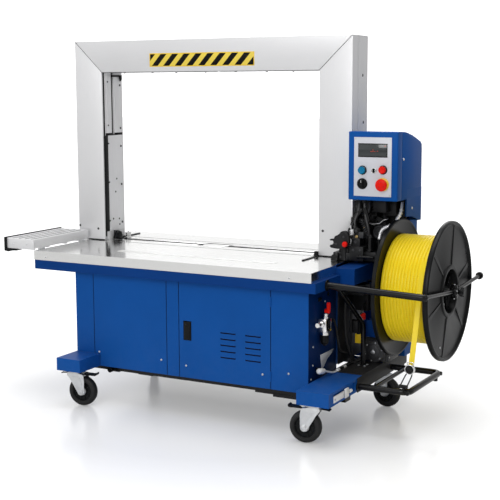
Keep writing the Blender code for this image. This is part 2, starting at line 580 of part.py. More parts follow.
def build_reel_frames():
    strut = tube([(0.600, FRAME_Y, 0.4545), (0.606, -0.050, 0.305), (0.606, -0.048, FOOT_TOP + 0.0005)],
                 0.008)
    front_bar = rod((APRON_RIGHT + 0.0005, FRAME_Y, 0.456), FRAME_CORNER, FRONT_BAR_RADIUS)
    elbow = rod((FRAME_X, FRAME_Y - 0.0125, 0.4445), (FRAME_X, FRAME_Y + 0.0125, 0.4425), 0.0125, 20)
    clamp = rod((0.8635, REEL_Y, REEL_Z), (0.8870, REEL_Y, REEL_Z), 0.0170, 24)
    cap = rod((FRAME_X, 0.305, 0.4266), (FRAME_X, 0.318, 0.4271), 0.0125, 20)
    extras = [tube(HUB_BAR, HUB_BAR_RADIUS), elbow, strut, clamp, cap]
    solid("upper_reel_frame", front_bar, BLACK_METAL, extras, smooth=True)

    lug = rod((GUARD_X, 0.060, GUARD_Z - 0.022), (GUARD_X, 0.060, GUARD_Z), 0.007, 16)
    crossbar = tube([(0.700, GUARD_FRONT, GUARD_Z), (0.700, GUARD_REAR, GUARD_Z)], 0.007)
    hoop = tube(rounded_route(GUARD_CORNERS, 0.018), TUBE_RADIUS)
    solid("lower_guard_frame", hoop, BLACK_METAL, [lug, crossbar], smooth=True)

    x, y, z = GUIDE_EYE
    side = x - 0.008
    arm = tube([GUIDE_PIVOT, (side, y + 0.003, z - 0.012), (side, y, z)], 0.003)
    barrel = rod((GUIDE_PIVOT[0] - 0.014, *GUIDE_PIVOT[1:]), (GUIDE_PIVOT[0] + 0.014, *GUIDE_PIVOT[1:]),
                 0.006, 16)
    eye = rod((x, y - EYE_HALF, z), (x, y + EYE_HALF, z), EYE_RADIUS, 28)
    solid("guide_arm", barrel, BLACK_METAL, [arm, eye], origin=GUIDE_PIVOT, smooth=True)

    # The free strap leaves the coil along its tangent and comes down behind the guide eye.
    half = 0.0008
    end_y, end_z = y + EYE_HALF + 0.0022, z + 0.004
    away_y, away_z = end_y - REEL_Y, end_z - REEL_Z
    distance = hypot(away_y, away_z)
    wrap = COIL_RADIUS + 0.0012 + half
    touch = atan2(away_z, away_y) - acos(wrap / distance)
    start_y, start_z = REEL_Y + wrap * cos(touch), REEL_Z + wrap * sin(touch)
    run = Vector((end_y - start_y, end_z - start_z)).normalized()
    side = Vector((-run.y, run.x)) * half
    outline = [(start_y + side.x, start_z + side.y), (end_y + side.x, end_z + side.y),
               (end_y - side.x, end_z - side.y), (start_y - side.x, start_z - side.y)]
    solid("strap_tail", prism(outline, "X", x - STRAP_WIDTH / 2, x + STRAP_WIDTH / 2), STRAP)


# ---------------------------------------------------------------- feeder, drives and sealing

FEED_ROLLER = (0.6240, 0.030, 0.590)
PINCH_PIVOT = (0.5515, -0.062, 0.5605)
PINCH_OUTLINE = [
    (0.5449, 0.6016), (0.5564, 0.5948), (0.5614, 0.5819), (0.5624, 0.5660), (0.5596, 0.5566),
    (0.5412, 0.5461), (0.5225, 0.5427), (0.4950, 0.5484), (0.4956, 0.5538), (0.5079, 0.5613),
    (0.5064, 0.5679), (0.4949, 0.5685), (0.4954, 0.5731), (0.5093, 0.5747), (0.5121, 0.5829),
    (0.5221, 0.5875), (0.5279, 0.5918), (0.5335, 0.5988),
]


def build_mechanism():
    floor = 0.494 + FIT_GAP
    x, y, z = FEED_ROLLER
    back = box((0.5470, 0.012, floor), (0.5580, 0.120, 0.690))
    adds = [
        box((0.5550, 0.020, floor), (0.606, 0.110, 0.560)),
        box((0.5550, -0.052, floor + 0.011), (0.604, 0.030, 0.552)),
        box((0.500, -0.052, TABLE_TOP + 0.0005), (0.570, -0.004, 0.548)),
        box((0.5285, -0.055, TABLE_TOP + 0.0005), (0.5450, -0.040, 0.572)),
        box((0.5550, 0.070, 0.55), (0.600, 0.108, 0.660)),
        rod((x, 0.050, z), (x, 0.090, z), 0.030, 24),
        box((0.590, 0.070, 0.56), (0.640, 0.100, 0.620)),
    ]
    clear = box((0.612, 0.0, 0.48), (0.70, 0.049, 0.70))
    solid("feeder_head", back, BLACK_METAL, adds, [clear])
    wheel = [(0.0, 0.019), (0.020, 0.019), (0.022, 0.017), (0.022, 0.002), (0.020, 0.0), (0.0, 0.0)]
    turned("feed_roller", wheel, (x, y, z), "Y", ZINC, 24, closed=False)

    x, y, z = PINCH_PIVOT
    arm = prism(PINCH_OUTLINE, "Y", y - 0.006, y + 0.0065)
    grip = rod((x, y - 0.020, z), (x, y - 0.004, z), 0.0088, 20)
    solid("pinch_lever", arm, BLACK_METAL, [grip], origin=PINCH_PIVOT)

    case = box((0.580, 0.015, FOOT_TOP + 0.0005), (0.664, 0.125, 0.250))
    cover = rod((0.622, -0.006, 0.205), (0.622, 0.020, 0.205), 0.036, 28)
    solid("prefeed_unit", case, BLACK_METAL, [cover])

    head = box((-0.075, 0.010, 0.300), (0.075, 0.116, 0.440))
    neck = box((-0.045, 0.030, 0.43), (0.045, 0.098, 0.4725))
    shaft = rod((CAM_X, 0.10, CAM_Z), (CAM_X, 0.146, CAM_Z), 0.008, 20)
    leg = box((-0.060, 0.020, 0.1275), (0.060, 0.100, 0.31))
    solid("sealing_head", head, ZINC, [neck, shaft, leg])

    barrel = rod((MOTOR_X, -0.110, MOTOR_Z), (MOTOR_X, 0.090, MOTOR_Z), 0.058, 28)
    shaft = rod((MOTOR_X, 0.08, MOTOR_Z), (MOTOR_X, 0.146, MOTOR_Z), 0.007, 20)
    foot = box((MOTOR_X - 0.05, -0.08, 0.1275), (MOTOR_X + 0.05, 0.06, 0.20))
    solid("drive_motor", barrel, BLACK_METAL, [shaft, foot])

    def pulley(name, x, z, radius, bore):
        groove = radius - 0.004
        width = PULLEY_WIDTH
        profile = [(bore, width), (radius, width), (radius, width - 0.002), (groove, width - 0.003),
                   (groove, 0.003), (radius, 0.002), (radius, 0.0), (bore, 0.0)]
        turned(name, profile, (x, PULLEY_Y, z), "Y", ZINC, 32)
        return groove

    small = pulley("motor_pulley", MOTOR_X, MOTOR_Z, MOTOR_PULLEY_RADIUS, 0.0073)
    large = pulley("cam_pulley", CAM_X, CAM_Z, CAM_PULLEY_RADIUS, 0.0083)

    def belt_outline(offset):
        """The line a belt takes round both pulleys, at a distance from their grooves."""
        wide, narrow = large + offset, small + offset
        span_x, span_z = MOTOR_X - CAM_X, MOTOR_Z - CAM_Z
        span = hypot(span_x, span_z)
        heading = atan2(span_z, span_x)
        lean = acos((wide - narrow) / span)
        points = []
        turns = (((CAM_X, CAM_Z), wide, heading + lean, heading + 2 * pi - lean),
                 ((MOTOR_X, MOTOR_Z), narrow, heading - lean, heading + lean))
        steps = 14
        for centre, radius, start, end in turns:
            for step in range(steps + 1):
                angle = start + (end - start) * step / steps
                points.append((centre[0] + radius * cos(angle), centre[1] + radius * sin(angle)))
        return points

    front, rear = PULLEY_Y + 0.004, PULLEY_Y + PULLEY_WIDTH - 0.004
    solid("drive_belt", prism(belt_outline(BELT_THICKNESS), "Y", front, rear), RUBBER,
          cuts=[prism(belt_outline(0.0006), "Y", front - 0.01, rear + 0.01)])


# ---------------------------------------------------------------- air service

AIR_VALVE = (0.550, -0.206, 0.370)


def build_air():
    body = box((0.5285, -0.236, 0.300), (0.562, -0.190, 0.352))
    bowl = rod((0.546, -0.213, 0.262), (0.546, -0.213, 0.305), 0.013, 20)
    knobs = rod((0.546, -0.268, 0.335), (0.546, -0.170, 0.335), 0.010, 20)
    x, y, z = AIR_VALVE
    stem = rod((0.546, y, 0.340), (0.546, y, z - 0.0075), 0.009, 20)
    solid("air_regulator", body, ZINC, [bowl, knobs, stem])
    root = rod((0.5440, y, z), (0.5625, y, z), 0.007, 20)
    lever = box((0.5500, y - 0.0060, z), (0.5620, y + 0.0060, z + 0.0280))
    solid("air_lever", root, RED_PLASTIC, [lever], origin=AIR_VALVE)


# ---------------------------------------------------------------- casters

CASTERS = {
    "front_left": ((-0.298, -0.358), 8),
    "front_right": ((0.583, -0.366), 186),
    "rear_left": ((-0.290, 0.105), -60),
    "rear_right": ((0.606, 0.105), -12),
}


def build_caster(place, mount, heading, braked):
    """A swivel fork with its axle, a wheel, and a brake pedal where there is one."""
    pivot = Vector((*mount, FOOT_LOW))
    turn = Matrix.Rotation(radians(heading), 4, "Z")
    spin = Matrix.Translation(pivot) @ turn @ Matrix.Translation(-pivot)
    x, y = mount
    axle_x, axle_z = x + CASTER_TRAIL, WHEEL_RADIUS
    leg_inner, leg_outer = WHEEL_WIDTH / 2 + 0.003, WHEEL_WIDTH / 2 + 0.006
    crown_low, crown_top = 0.1035, 0.1150

    def swung(shape):
        bmesh.ops.transform(shape, matrix=spin, verts=shape.verts)
        return shape

    def leg(side):
        outline = [(x - 0.022, crown_top - 0.001), (x + 0.034, crown_top - 0.001), (axle_x + 0.013, axle_z),
                   (axle_x + 0.008, axle_z - 0.011), (axle_x - 0.008, axle_z - 0.011), (axle_x - 0.013, axle_z)]
        low, high = sorted((y + side * leg_inner, y + side * leg_outer))
        return prism(outline, "Y", low, high)

    crown = box((x - 0.023, y - leg_outer, crown_low), (x + 0.035, y + leg_outer, crown_top))
    head = rod((x, y, crown_top - 0.001), (x, y, FOOT_LOW - FIT_GAP), 0.019, 24)
    axle = rod((axle_x, y - leg_outer - 0.003, axle_z), (axle_x, y + leg_outer + 0.003, axle_z), 0.0055, 16)
    extras = [leg(-1), leg(1), head, axle]
    solid(place + "_fork", swung(crown), ZINC, [swung(item) for item in extras], origin=pivot)

    half, radius = WHEEL_WIDTH / 2, WHEEL_RADIUS
    profile = [(0.0060, half - 0.002), (0.018, half - 0.002), (0.020, half - 0.006), (0.034, half - 0.006),
               (0.036, half - 0.001), (radius - 0.004, half - 0.001), (radius, half - 0.006),
               (radius, 0.006 - half), (radius - 0.004, 0.001 - half), (0.036, 0.001 - half),
               (0.034, 0.006 - half), (0.020, 0.006 - half), (0.018, 0.002 - half), (0.0060, 0.002 - half)]
    wheel = turned(place + "_wheel", profile, spin @ Vector((axle_x, y, axle_z)), "Y", RUBBER, 28)
    wheel.rotation_euler = (-pi / 2, 0, radians(heading))

    if braked:
        pedal = box((x + 0.0365, y - 0.014, 0.1055), (x + 0.080, y + 0.014, 0.1095))
        toe = box((x + 0.074, y - 0.014, 0.1055), (x + 0.080, y + 0.014, 0.1150))
        hinge = spin @ Vector((x + 0.0365, y, 0.1075))
        solid(place + "_brake", swung(pedal), BLACK_PLASTIC, [swung(toe)], origin=hinge)


build_base()
build_cabinet()
build_table()
build_arch()
build_leaf()
build_controls()
build_reel()
build_reel_frames()
build_mechanism()
build_air()
for caster, (mount, heading) in CASTERS.items():
    build_caster(caster, mount, heading, caster.startswith("front"))
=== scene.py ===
import random
from math import acos, atan2, cos, pi, radians, sin

import bmesh
import bpy
from mathutils import Matrix, Vector


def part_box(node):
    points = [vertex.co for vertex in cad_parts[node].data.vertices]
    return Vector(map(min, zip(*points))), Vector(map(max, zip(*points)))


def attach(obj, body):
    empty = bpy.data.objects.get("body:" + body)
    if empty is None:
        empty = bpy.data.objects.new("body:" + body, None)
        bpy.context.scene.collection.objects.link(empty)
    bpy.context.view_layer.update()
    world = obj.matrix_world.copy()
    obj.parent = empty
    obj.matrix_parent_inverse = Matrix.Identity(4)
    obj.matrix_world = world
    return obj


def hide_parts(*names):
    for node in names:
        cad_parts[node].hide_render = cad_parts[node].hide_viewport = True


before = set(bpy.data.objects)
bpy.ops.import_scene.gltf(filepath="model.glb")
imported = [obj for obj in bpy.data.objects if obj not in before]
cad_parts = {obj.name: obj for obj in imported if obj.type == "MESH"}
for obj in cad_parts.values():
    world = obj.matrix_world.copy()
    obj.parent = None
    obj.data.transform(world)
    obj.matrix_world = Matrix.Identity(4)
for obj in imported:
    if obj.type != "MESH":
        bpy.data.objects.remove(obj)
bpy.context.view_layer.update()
random.seed(7)

# The arch gives the working origin: its middle, its front face and the floor.
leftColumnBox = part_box("arch_left_column")
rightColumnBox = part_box("arch_right_column")
archX = (leftColumnBox[0].x + rightColumnBox[1].x) / 2
archY = leftColumnBox[0].y


def at(x, y, z):
    return Vector((archX + x, archY + y, z))


toFront, toRear, toLeft, toRight = (0, -1, 0), (0, 1, 0), (-1, 0, 0), (1, 0, 0)
upward, downward = (0, 0, 1), (0, 0, -1)

pieces = bpy.data.collections.new("machineLooks")
bpy.context.scene.collection.children.link(pieces)

# Camera, floor and light.

stageLook = {
    "eye": (1.9422, -3.2919, 1.0541), "heading": 28.28, "down": 8.32, "lean": -0.2, "lens": 80.56,
    "ambient": 0.42, "mirrored": 0.8, "backdrop": 1.6, "fall": -0.5,
    "lamps": (("keyLamp", (0.6, -4.4, 2.6), 2.4, 72), ("fillLamp", (4.2, -1.6, 2.4), 2.4, 6),
        ("topLamp", (0.2, 0.2, 4.0), 2.4, 62), ("backLamp", (-1.5, 3.4, 2.6), 2.2, 25)),
    "aim": (0.1, 0, 0.6), "floorReach": (0.65, 1.6), "floorLift": (0.19, 0.45),
}


def buildStage():
    look = stageLook
    data = bpy.data.cameras.new("mainCamera")
    data.lens = look["lens"]
    data.sensor_width = 36
    camera = bpy.data.objects.new("mainCamera", data)
    turn = (Matrix.Rotation(radians(look["heading"]), 4, "Z")
            @ Matrix.Rotation(radians(90 - look["down"]), 4, "X")
            @ Matrix.Rotation(radians(look["lean"]), 4, "Z"))
    camera.matrix_world = Matrix.Translation(at(*look["eye"])) @ turn
    bpy.context.scene.collection.objects.link(camera)
    bpy.context.scene.camera = camera
    bpy.context.scene.view_settings.view_transform = "Standard"

    world = bpy.data.worlds.new("studioWorld")
    world.use_nodes = True
    # Seen directly the backdrop is clean white, in gloss it is bright, and as light it is soft.
    tree = world.node_tree
    path = addNode(tree, "ShaderNodeLightPath")
    direct = mathNode(tree, "MULTIPLY", path.outputs["Is Camera Ray"], look["backdrop"] - look["ambient"])
    gloss = mathNode(tree, "MULTIPLY", path.outputs["Is Glossy Ray"], look["mirrored"] - look["ambient"])
    strength = mathNode(tree, "ADD", gloss, look["ambient"])
    # The room is darker towards the reel's side.
    apart = addNode(tree, "ShaderNodeSeparateXYZ")
    tree.links.new(addNode(tree, "ShaderNodeTexCoord").outputs["Generated"], apart.inputs[0])
    fall = mathNode(tree, "ADD", mathNode(tree, "MULTIPLY", apart.outputs["X"], look["fall"]), 1.0)
    strength = mathNode(tree, "ADD", mathNode(tree, "MULTIPLY", strength, fall), direct)
    tree.links.new(strength, tree.nodes["Background"].inputs["Strength"])
    tree.nodes["Background"].inputs["Color"].default_value = (1.0, 1.0, 1.0, 1.0)
    bpy.context.scene.world = world

    floorMesh = bmesh.new()
    bmesh.ops.create_grid(floorMesh, x_segments=4, y_segments=4, size=30)
    mesh = bpy.data.meshes.new("floorSheet")
    floorMesh.to_mesh(mesh)
    floorMesh.free()
    floor = bpy.data.objects.new("floorSheet", mesh)
    floor.location = (0, 0, -0.0005)
    bpy.context.scene.collection.objects.link(floor)
    mesh.materials.append(floorPaint())

    for name, place, size, power in look["lamps"]:
        lamp = bpy.data.lights.new(name, "AREA")
        lamp.shape = "SQUARE"
        lamp.size = size
        lamp.energy = power
        item = bpy.data.objects.new(name, lamp)
        item.location = place
        item.rotation_euler = (Vector(look["aim"]) - Vector(place)).to_track_quat("-Z", "Y").to_euler()
        bpy.context.scene.collection.objects.link(item)
    print("stage ready")


def floorPaint():
    material = bpy.data.materials.new("paleFloor")
    material.use_nodes = True
    shader = material.node_tree.nodes["Principled BSDF"]
    shader.inputs["Base Color"].default_value = (0.9, 0.9, 0.9, 1)
    shader.inputs["Roughness"].default_value = 0.2
    shader.inputs["Specular IOR Level"].default_value = 0.5
    # The floor glows for camera rays only, a painted brightening that rises away from the machine to the
    # backdrop's white.
    tree = material.node_tree
    place = addNode(tree, "ShaderNodeTexCoord")
    reach = addNode(tree, "ShaderNodeVectorMath", {"operation": "LENGTH"})
    tree.links.new(place.outputs["Object"], reach.inputs[0])
    base, more = stageLook["floorLift"]
    far = ramp(tree, reach.outputs["Value"], *stageLook["floorReach"])
    lift = mathNode(tree, "ADD", mathNode(tree, "MULTIPLY", far, more), base)
    seen = addNode(tree, "ShaderNodeLightPath").outputs["Is Camera Ray"]
    tree.links.new(mathNode(tree, "MULTIPLY", lift, seen), shader.inputs["Emission Strength"])
    shader.inputs["Emission Color"].default_value = (1, 1, 1, 1)
    return material


# Node groups shared by the finishes.

def openGroup(name, inputs, outputs):
    group = bpy.data.node_groups.new(name, "ShaderNodeTree")
    for label, value in inputs:
        kind = "NodeSocketVector" if isinstance(value, tuple) else "NodeSocketFloat"
        socket = group.interface.new_socket(label, in_out="INPUT", socket_type=kind)
        socket.default_value = value
    for label in outputs:
        group.interface.new_socket(label, in_out="OUTPUT", socket_type="NodeSocketFloat")
    return group, group.nodes.new("NodeGroupInput"), group.nodes.new("NodeGroupOutput")


def addNode(tree, kind, settings=None, **values):
    node = tree.nodes.new(kind)
    for key, value in (settings or {}).items():
        setattr(node, key, value)
    for key, value in values.items():
        node.inputs[key.replace("_", " ")].default_value = value
    return node


def mathNode(tree, operation, first, second=None, clamp=False):
    node = tree.nodes.new("ShaderNodeMath")
    node.operation = operation
    node.use_clamp = clamp
    for index, value in enumerate((first, second)):
        if value is None:
            continue
        if isinstance(value, (int, float)):
            node.inputs[index].default_value = value
        else:
            tree.links.new(value, node.inputs[index])
    return node.outputs[0]


def ramp(tree, value, low, high):
    # Maps low..high to 0..1.
    node = addNode(tree, "ShaderNodeMapRange")
    tree.links.new(value, node.inputs["Value"])
    node.inputs["From Min"].default_value = low
    node.inputs["From Max"].default_value = high
    return node.outputs[0]


def makeWearGroup():
    # Bright, broken lines where a bevelled edge has been rubbed.
    group, enter, leave = openGroup("edgeWear", [("Width", 0.002), ("Scale", 90.0), ("Cover", 0.5)], ["Mask"])
    links = group.links
    edge = addNode(group, "ShaderNodeBevel", {"samples": 4})
    links.new(enter.outputs["Width"], edge.inputs["Radius"])
    real = addNode(group, "ShaderNodeNewGeometry")
    same = addNode(group, "ShaderNodeVectorMath", {"operation": "DOT_PRODUCT"})
    links.new(edge.outputs["Normal"], same.inputs[0])
    links.new(real.outputs["Normal"], same.inputs[1])
    rim = ramp(group, same.outputs["Value"], 0.995, 0.93)
    place = addNode(group, "ShaderNodeTexCoord")
    noise = addNode(group, "ShaderNodeTexNoise", Detail=5.0, Roughness=0.65)
    links.new(place.outputs["Object"], noise.inputs["Vector"])
    links.new(enter.outputs["Scale"], noise.inputs["Scale"])
    limit = mathNode(group, "SUBTRACT", 0.9, mathNode(group, "MULTIPLY", enter.outputs["Cover"], 0.5))
    broken = mathNode(group, "MULTIPLY", mathNode(group, "SUBTRACT", noise.outputs["Fac"], limit), 9.0,
        clamp=True)
    faint = mathNode(group, "ADD", mathNode(group, "MULTIPLY", broken, 0.8), 0.12)
    links.new(mathNode(group, "MULTIPLY", rim, faint, clamp=True), leave.inputs["Mask"])
    return group


def makeGrainGroup():
    # Long fine lines along one axis, as rolled or brushed metal has.
    group, enter, leave = openGroup("brushedGrain", [("Stretch", (1.0, 1.0, 1.0)), ("Scale", 400.0)],
        ["Value"])
    links = group.links
    place = addNode(group, "ShaderNodeTexCoord")
    stretched = addNode(group, "ShaderNodeVectorMath", {"operation": "MULTIPLY"})
    links.new(place.outputs["Object"], stretched.inputs[0])
    links.new(enter.outputs["Stretch"], stretched.inputs[1])
    noise = addNode(group, "ShaderNodeTexNoise", Detail=3.0, Roughness=0.6)
    links.new(stretched.outputs[0], noise.inputs["Vector"])
    links.new(enter.outputs["Scale"], noise.inputs["Scale"])
    links.new(noise.outputs["Fac"], leave.inputs["Value"])
    return group


def makeMottleGroup():
    # Soft blotches for colour and gloss, and a fine pebble for the surface.
    group, enter, leave = openGroup("mottle", [("Broad", 6.0), ("Fine", 900.0)], ["Blotch", "Pebble"])
    links = group.links
    place = addNode(group, "ShaderNodeTexCoord")
    for label, output, detail in (("Broad", "Blotch", 4.0), ("Fine", "Pebble", 1.0)):
        noise = addNode(group, "ShaderNodeTexNoise", Detail=detail, Roughness=0.55)
        links.new(place.outputs["Object"], noise.inputs["Vector"])
        links.new(enter.outputs[label], noise.inputs["Scale"])
        links.new(noise.outputs["Fac"], leave.inputs[output])
    return group


def makeDustGroup():
    # Dust lies on faces that look up and thickens towards the floor.
    group, enter, leave = openGroup("dust", [("Amount", 0.3), ("Reach", 0.35)], ["Mask"])
    links = group.links
    real = addNode(group, "ShaderNodeNewGeometry")
    apart = addNode(group, "ShaderNodeSeparateXYZ")
    links.new(real.outputs["Normal"], apart.inputs[0])
    up = ramp(group, apart.outputs["Z"], 0.55, 1.0)
    place = addNode(group, "ShaderNodeTexCoord")
    height = addNode(group, "ShaderNodeSeparateXYZ")
    links.new(place.outputs["Object"], height.inputs[0])
    low = mathNode(group, "SUBTRACT", 1.0, mathNode(group, "DIVIDE", height.outputs["Z"],
        enter.outputs["Reach"]), True)
    noise = addNode(group, "ShaderNodeTexNoise", Scale=38.0, Detail=6.0, Roughness=0.7)
    links.new(place.outputs["Object"], noise.inputs["Vector"])
    patchy = ramp(group, noise.outputs["Fac"], 0.35, 0.75)
    both = mathNode(group, "ADD", mathNode(group, "MULTIPLY", up, 0.55),
        mathNode(group, "MULTIPLY", low, 0.35))
    mask = mathNode(group, "MULTIPLY", mathNode(group, "MULTIPLY", both, patchy), enter.outputs["Amount"],
        True)
    links.new(mask, leave.inputs["Mask"])
    return group


wearGroup = makeWearGroup()
grainGroup = makeGrainGroup()
mottleGroup = makeMottleGroup()
dustGroup = makeDustGroup()


def useGroup(tree, group, **values):
    node = tree.nodes.new("ShaderNodeGroup")
    node.node_tree = group
    for key, value in values.items():
        node.inputs[key].default_value = value
    return node


def mixColour(tree, mask, first, second):
    node = addNode(tree, "ShaderNodeMix", {"data_type": "RGBA"})
    tree.links.new(mask, node.inputs["Factor"])
    for index, value in ((6, first), (7, second)):
        if isinstance(value, tuple):
            node.inputs[index].default_value = (*value, 1.0)
        else:
            tree.links.new(value, node.inputs[index])
    return node.outputs[2]


# Finishes.

def finish(name, colour, roughness, metallic=0.0, shade=0.12, gloss=0.08, wear=0.0,
        wearColour=(0.5, 0.5, 0.5), dust=0.0, pebble=0.0, pebbleScale=900.0, grain=0.0, stretch=(1, 1, 1),
        grainScale=400.0, edge=0.0008, broad=6.0, coat=0.0, specular=0.5):
    # Tone and gloss vary softly, edges wear, dust settles, and the surface has its own bump.
    material = bpy.data.materials.new(name)
    material.use_nodes = True
    tree = material.node_tree
    shader = tree.nodes["Principled BSDF"]
    shader.inputs["Metallic"].default_value = metallic
    shader.inputs["Specular IOR Level"].default_value = specular
    shader.inputs["Coat Weight"].default_value = coat
    shader.inputs["Coat Roughness"].default_value = 0.12
    links = tree.links
    mottle = useGroup(tree, mottleGroup, Broad=broad, Fine=pebbleScale)
    darker = tuple(channel * (1 - shade) for channel in colour)
    lighter = tuple(min(1.0, channel * (1 + shade)) for channel in colour)
    tone = mixColour(tree, ramp(tree, mottle.outputs["Blotch"], 0.3, 0.7), darker, lighter)
    rough = mathNode(tree, "ADD", mathNode(tree, "MULTIPLY", mottle.outputs["Blotch"], 2 * gloss),
        roughness - gloss)
    height = None
    if grain:
        lines = useGroup(tree, grainGroup, Stretch=stretch, Scale=grainScale)
        tone = mixColour(tree, ramp(tree, lines.outputs["Value"], 0.25, 0.8), tone,
            tuple(c * (1 - shade) for c in colour))
        rough = mathNode(tree, "ADD", rough, mathNode(tree, "MULTIPLY", lines.outputs["Value"], 0.1))
        height = mathNode(tree, "MULTIPLY", lines.outputs["Value"], grain)
    if pebble:
        bumps = mathNode(tree, "MULTIPLY", mottle.outputs["Pebble"], pebble)
        height = bumps if height is None else mathNode(tree, "ADD", height, bumps)
    if wear:
        worn = useGroup(tree, wearGroup, Width=0.0016, Cover=wear)
        tone = mixColour(tree, worn.outputs["Mask"], tone, wearColour)
    if dust:
        dirt = useGroup(tree, dustGroup, Amount=dust)
        tone = mixColour(tree, dirt.outputs["Mask"], tone, (0.42, 0.4, 0.37))
        rough = mathNode(tree, "ADD", rough, mathNode(tree, "MULTIPLY", dirt.outputs["Mask"], 0.35),
            clamp=True)
    links.new(tone, shader.inputs["Base Color"])
    links.new(rough, shader.inputs["Roughness"])
    rounded = None
    if edge:
        rounded = addNode(tree, "ShaderNodeBevel", {"samples": 4}, Radius=edge).outputs["Normal"]
        links.new(rounded, shader.inputs["Normal"])
    if height is not None:
        bump = addNode(tree, "ShaderNodeBump", Strength=0.5, Distance=1.0)
        links.new(height, bump.inputs["Height"])
        if rounded:
            links.new(rounded, bump.inputs["Normal"])
        links.new(bump.outputs["Normal"], shader.inputs["Normal"])
    return material


bluePaint = finish("bluePaint", (0.005, 0.083, 0.345), 0.42, shade=0.06, wear=0.35,
    wearColour=(0.09, 0.21, 0.48), dust=0.08, pebble=0.00003, pebbleScale=700, specular=0.08)
# A near-navy copy of the blue paint: painted shade for the end wall.
endWallShadeBlue = finish("endWallShadeBlue", (0.0012, 0.02, 0.098), 0.42, shade=0.06, edge=0, specular=0.06)
# A darker copy of the blue paint: painted shade for the apron under the table lip, the end beam and the bay
# guard.
bluePaintedShade = finish("bluePaintedShade", (0.002, 0.044, 0.215), 0.42, shade=0.06, wear=0.35,
    wearColour=(0.06, 0.15, 0.36), dust=0.08, pebble=0.00003, pebbleScale=700, specular=0.08)
columnMetal = finish("columnMetal", (0.8, 0.8, 0.81), 0.42, metallic=0.45, shade=0.03, gloss=0.05,
    grain=0.00002, stretch=(1, 1, 0.02), grainScale=700, wear=0.3, wearColour=(0.9, 0.9, 0.92))
beamMetal = finish("beamMetal", (0.8, 0.8, 0.81), 0.42, metallic=0.45, shade=0.03, gloss=0.05, grain=0.00002,
                   stretch=(0.02, 1, 1), grainScale=700, wear=0.3, wearColour=(0.9, 0.9, 0.92))
trackMetal = finish("trackMetal", (0.9, 0.9, 0.915), 0.36, metallic=0.5, shade=0.06, grain=0.00002,
                    stretch=(1, 1, 0.03), grainScale=600)
tableMetal = finish("tableMetal", (0.8, 0.8, 0.79), 0.1, metallic=1.0, shade=0.03, gloss=0.03, grain=0.000006,
                    stretch=(0.02, 1, 1), grainScale=900, wear=0.3, wearColour=(0.9, 0.9, 0.9), broad=3.0)
zincMetal = finish("zincMetal", (0.62, 0.63, 0.64), 0.32, metallic=1.0, shade=0.1, gloss=0.08, pebble=0.00006,
                   pebbleScale=500, wear=0.3, wearColour=(0.85, 0.85, 0.86), dust=0.15, broad=30)
brightMetal = finish("brightMetal", (0.78, 0.78, 0.78), 0.18, metallic=1.0, shade=0.05, gloss=0.05, broad=40)
blackPaint = finish("blackPaint", (0.0045, 0.0045, 0.005), 0.22, shade=0.15, wear=0.3,
    wearColour=(0.08, 0.08, 0.08), pebble=0.00003, pebbleScale=600, dust=0.0, specular=0.25)
blackCast = finish("blackCast", (0.007, 0.007, 0.008), 0.44, shade=0.2, wear=0.4,
    wearColour=(0.16, 0.16, 0.16), pebble=0.0002, pebbleScale=420, dust=0.04, broad=25, specular=0.25)
greyCast = finish("greyCast", (0.032, 0.033, 0.036), 0.46, shade=0.15, wear=0.4, wearColour=(0.2, 0.2, 0.2),
                  pebble=0.0002, pebbleScale=420, dust=0.06, broad=20, specular=0.35)
blackPlastic = finish("blackPlastic", (0.006, 0.0066, 0.0072), 0.3, shade=0.1, pebble=0.00005,
    pebbleScale=1100, wear=0.25, wearColour=(0.05, 0.05, 0.05), dust=0.0, specular=0.13)
rubberBlack = finish("rubberBlack", (0.009, 0.009, 0.0095), 0.55, shade=0.15, pebble=0.0001, pebbleScale=800,
                     wear=0.4, wearColour=(0.04, 0.04, 0.04), dust=0.06, specular=0.3)
hoseRubber = finish("hoseRubber", (0.014, 0.014, 0.015), 0.4, shade=0.1, edge=0)
strapYellow = finish("strapYellow", (1.0, 0.745, 0.014), 0.28, shade=0.03, gloss=0.06, specular=0.25,
    edge=0, broad=25, grain=0.00004, stretch=(1, 0.1, 0.1), grainScale=1500)
redPlastic = finish("redPlastic", (0.8, 0.012, 0.006), 0.3, shade=0.06, broad=60, specular=0.12)
# A darker copy of the red plastic: painted shade on the stop button's grip ridges.
redPaintedShade = finish("redPaintedShade", (0.32, 0.006, 0.005), 0.3, shade=0.06, broad=60)
bluePlastic = finish("bluePlastic", (0.004, 0.19, 0.38), 0.28, shade=0.06, broad=60, specular=0.15)
yellowPlastic = finish("yellowPlastic", (0.93, 0.62, 0.02), 0.32, shade=0.06, broad=60)
whitePlastic = finish("whitePlastic", (0.86, 0.86, 0.85), 0.35, shade=0.03, broad=30)
foilGrey = finish("foilGrey", (0.66, 0.67, 0.72), 0.33, shade=0.02, pebble=0.00002, pebbleScale=1500,
    broad=20)
brassMetal = finish("brassMetal", (0.62, 0.45, 0.2), 0.3, metallic=1.0, shade=0.08, broad=60)
darkGlass = finish("darkGlass", (0.006, 0.012, 0.014), 0.1, shade=0.1, coat=0.6, broad=60)
lampRed = finish("lampRed", (0.6, 0.05, 0.02), 0.3, shade=0.05, broad=60)
# A flat black: painted shade in slots, holes, gaps and under the leaf slats, and the black of the box gasket,
# key slit and track wipers.
blackAndPaintedShade = finish("blackAndPaintedShade", (0.005, 0.005, 0.006), 0.8, shade=0.1, edge=0, specular=0.03)
print("finishes ready")

# Building helpers: every point is given in the arch's frame.

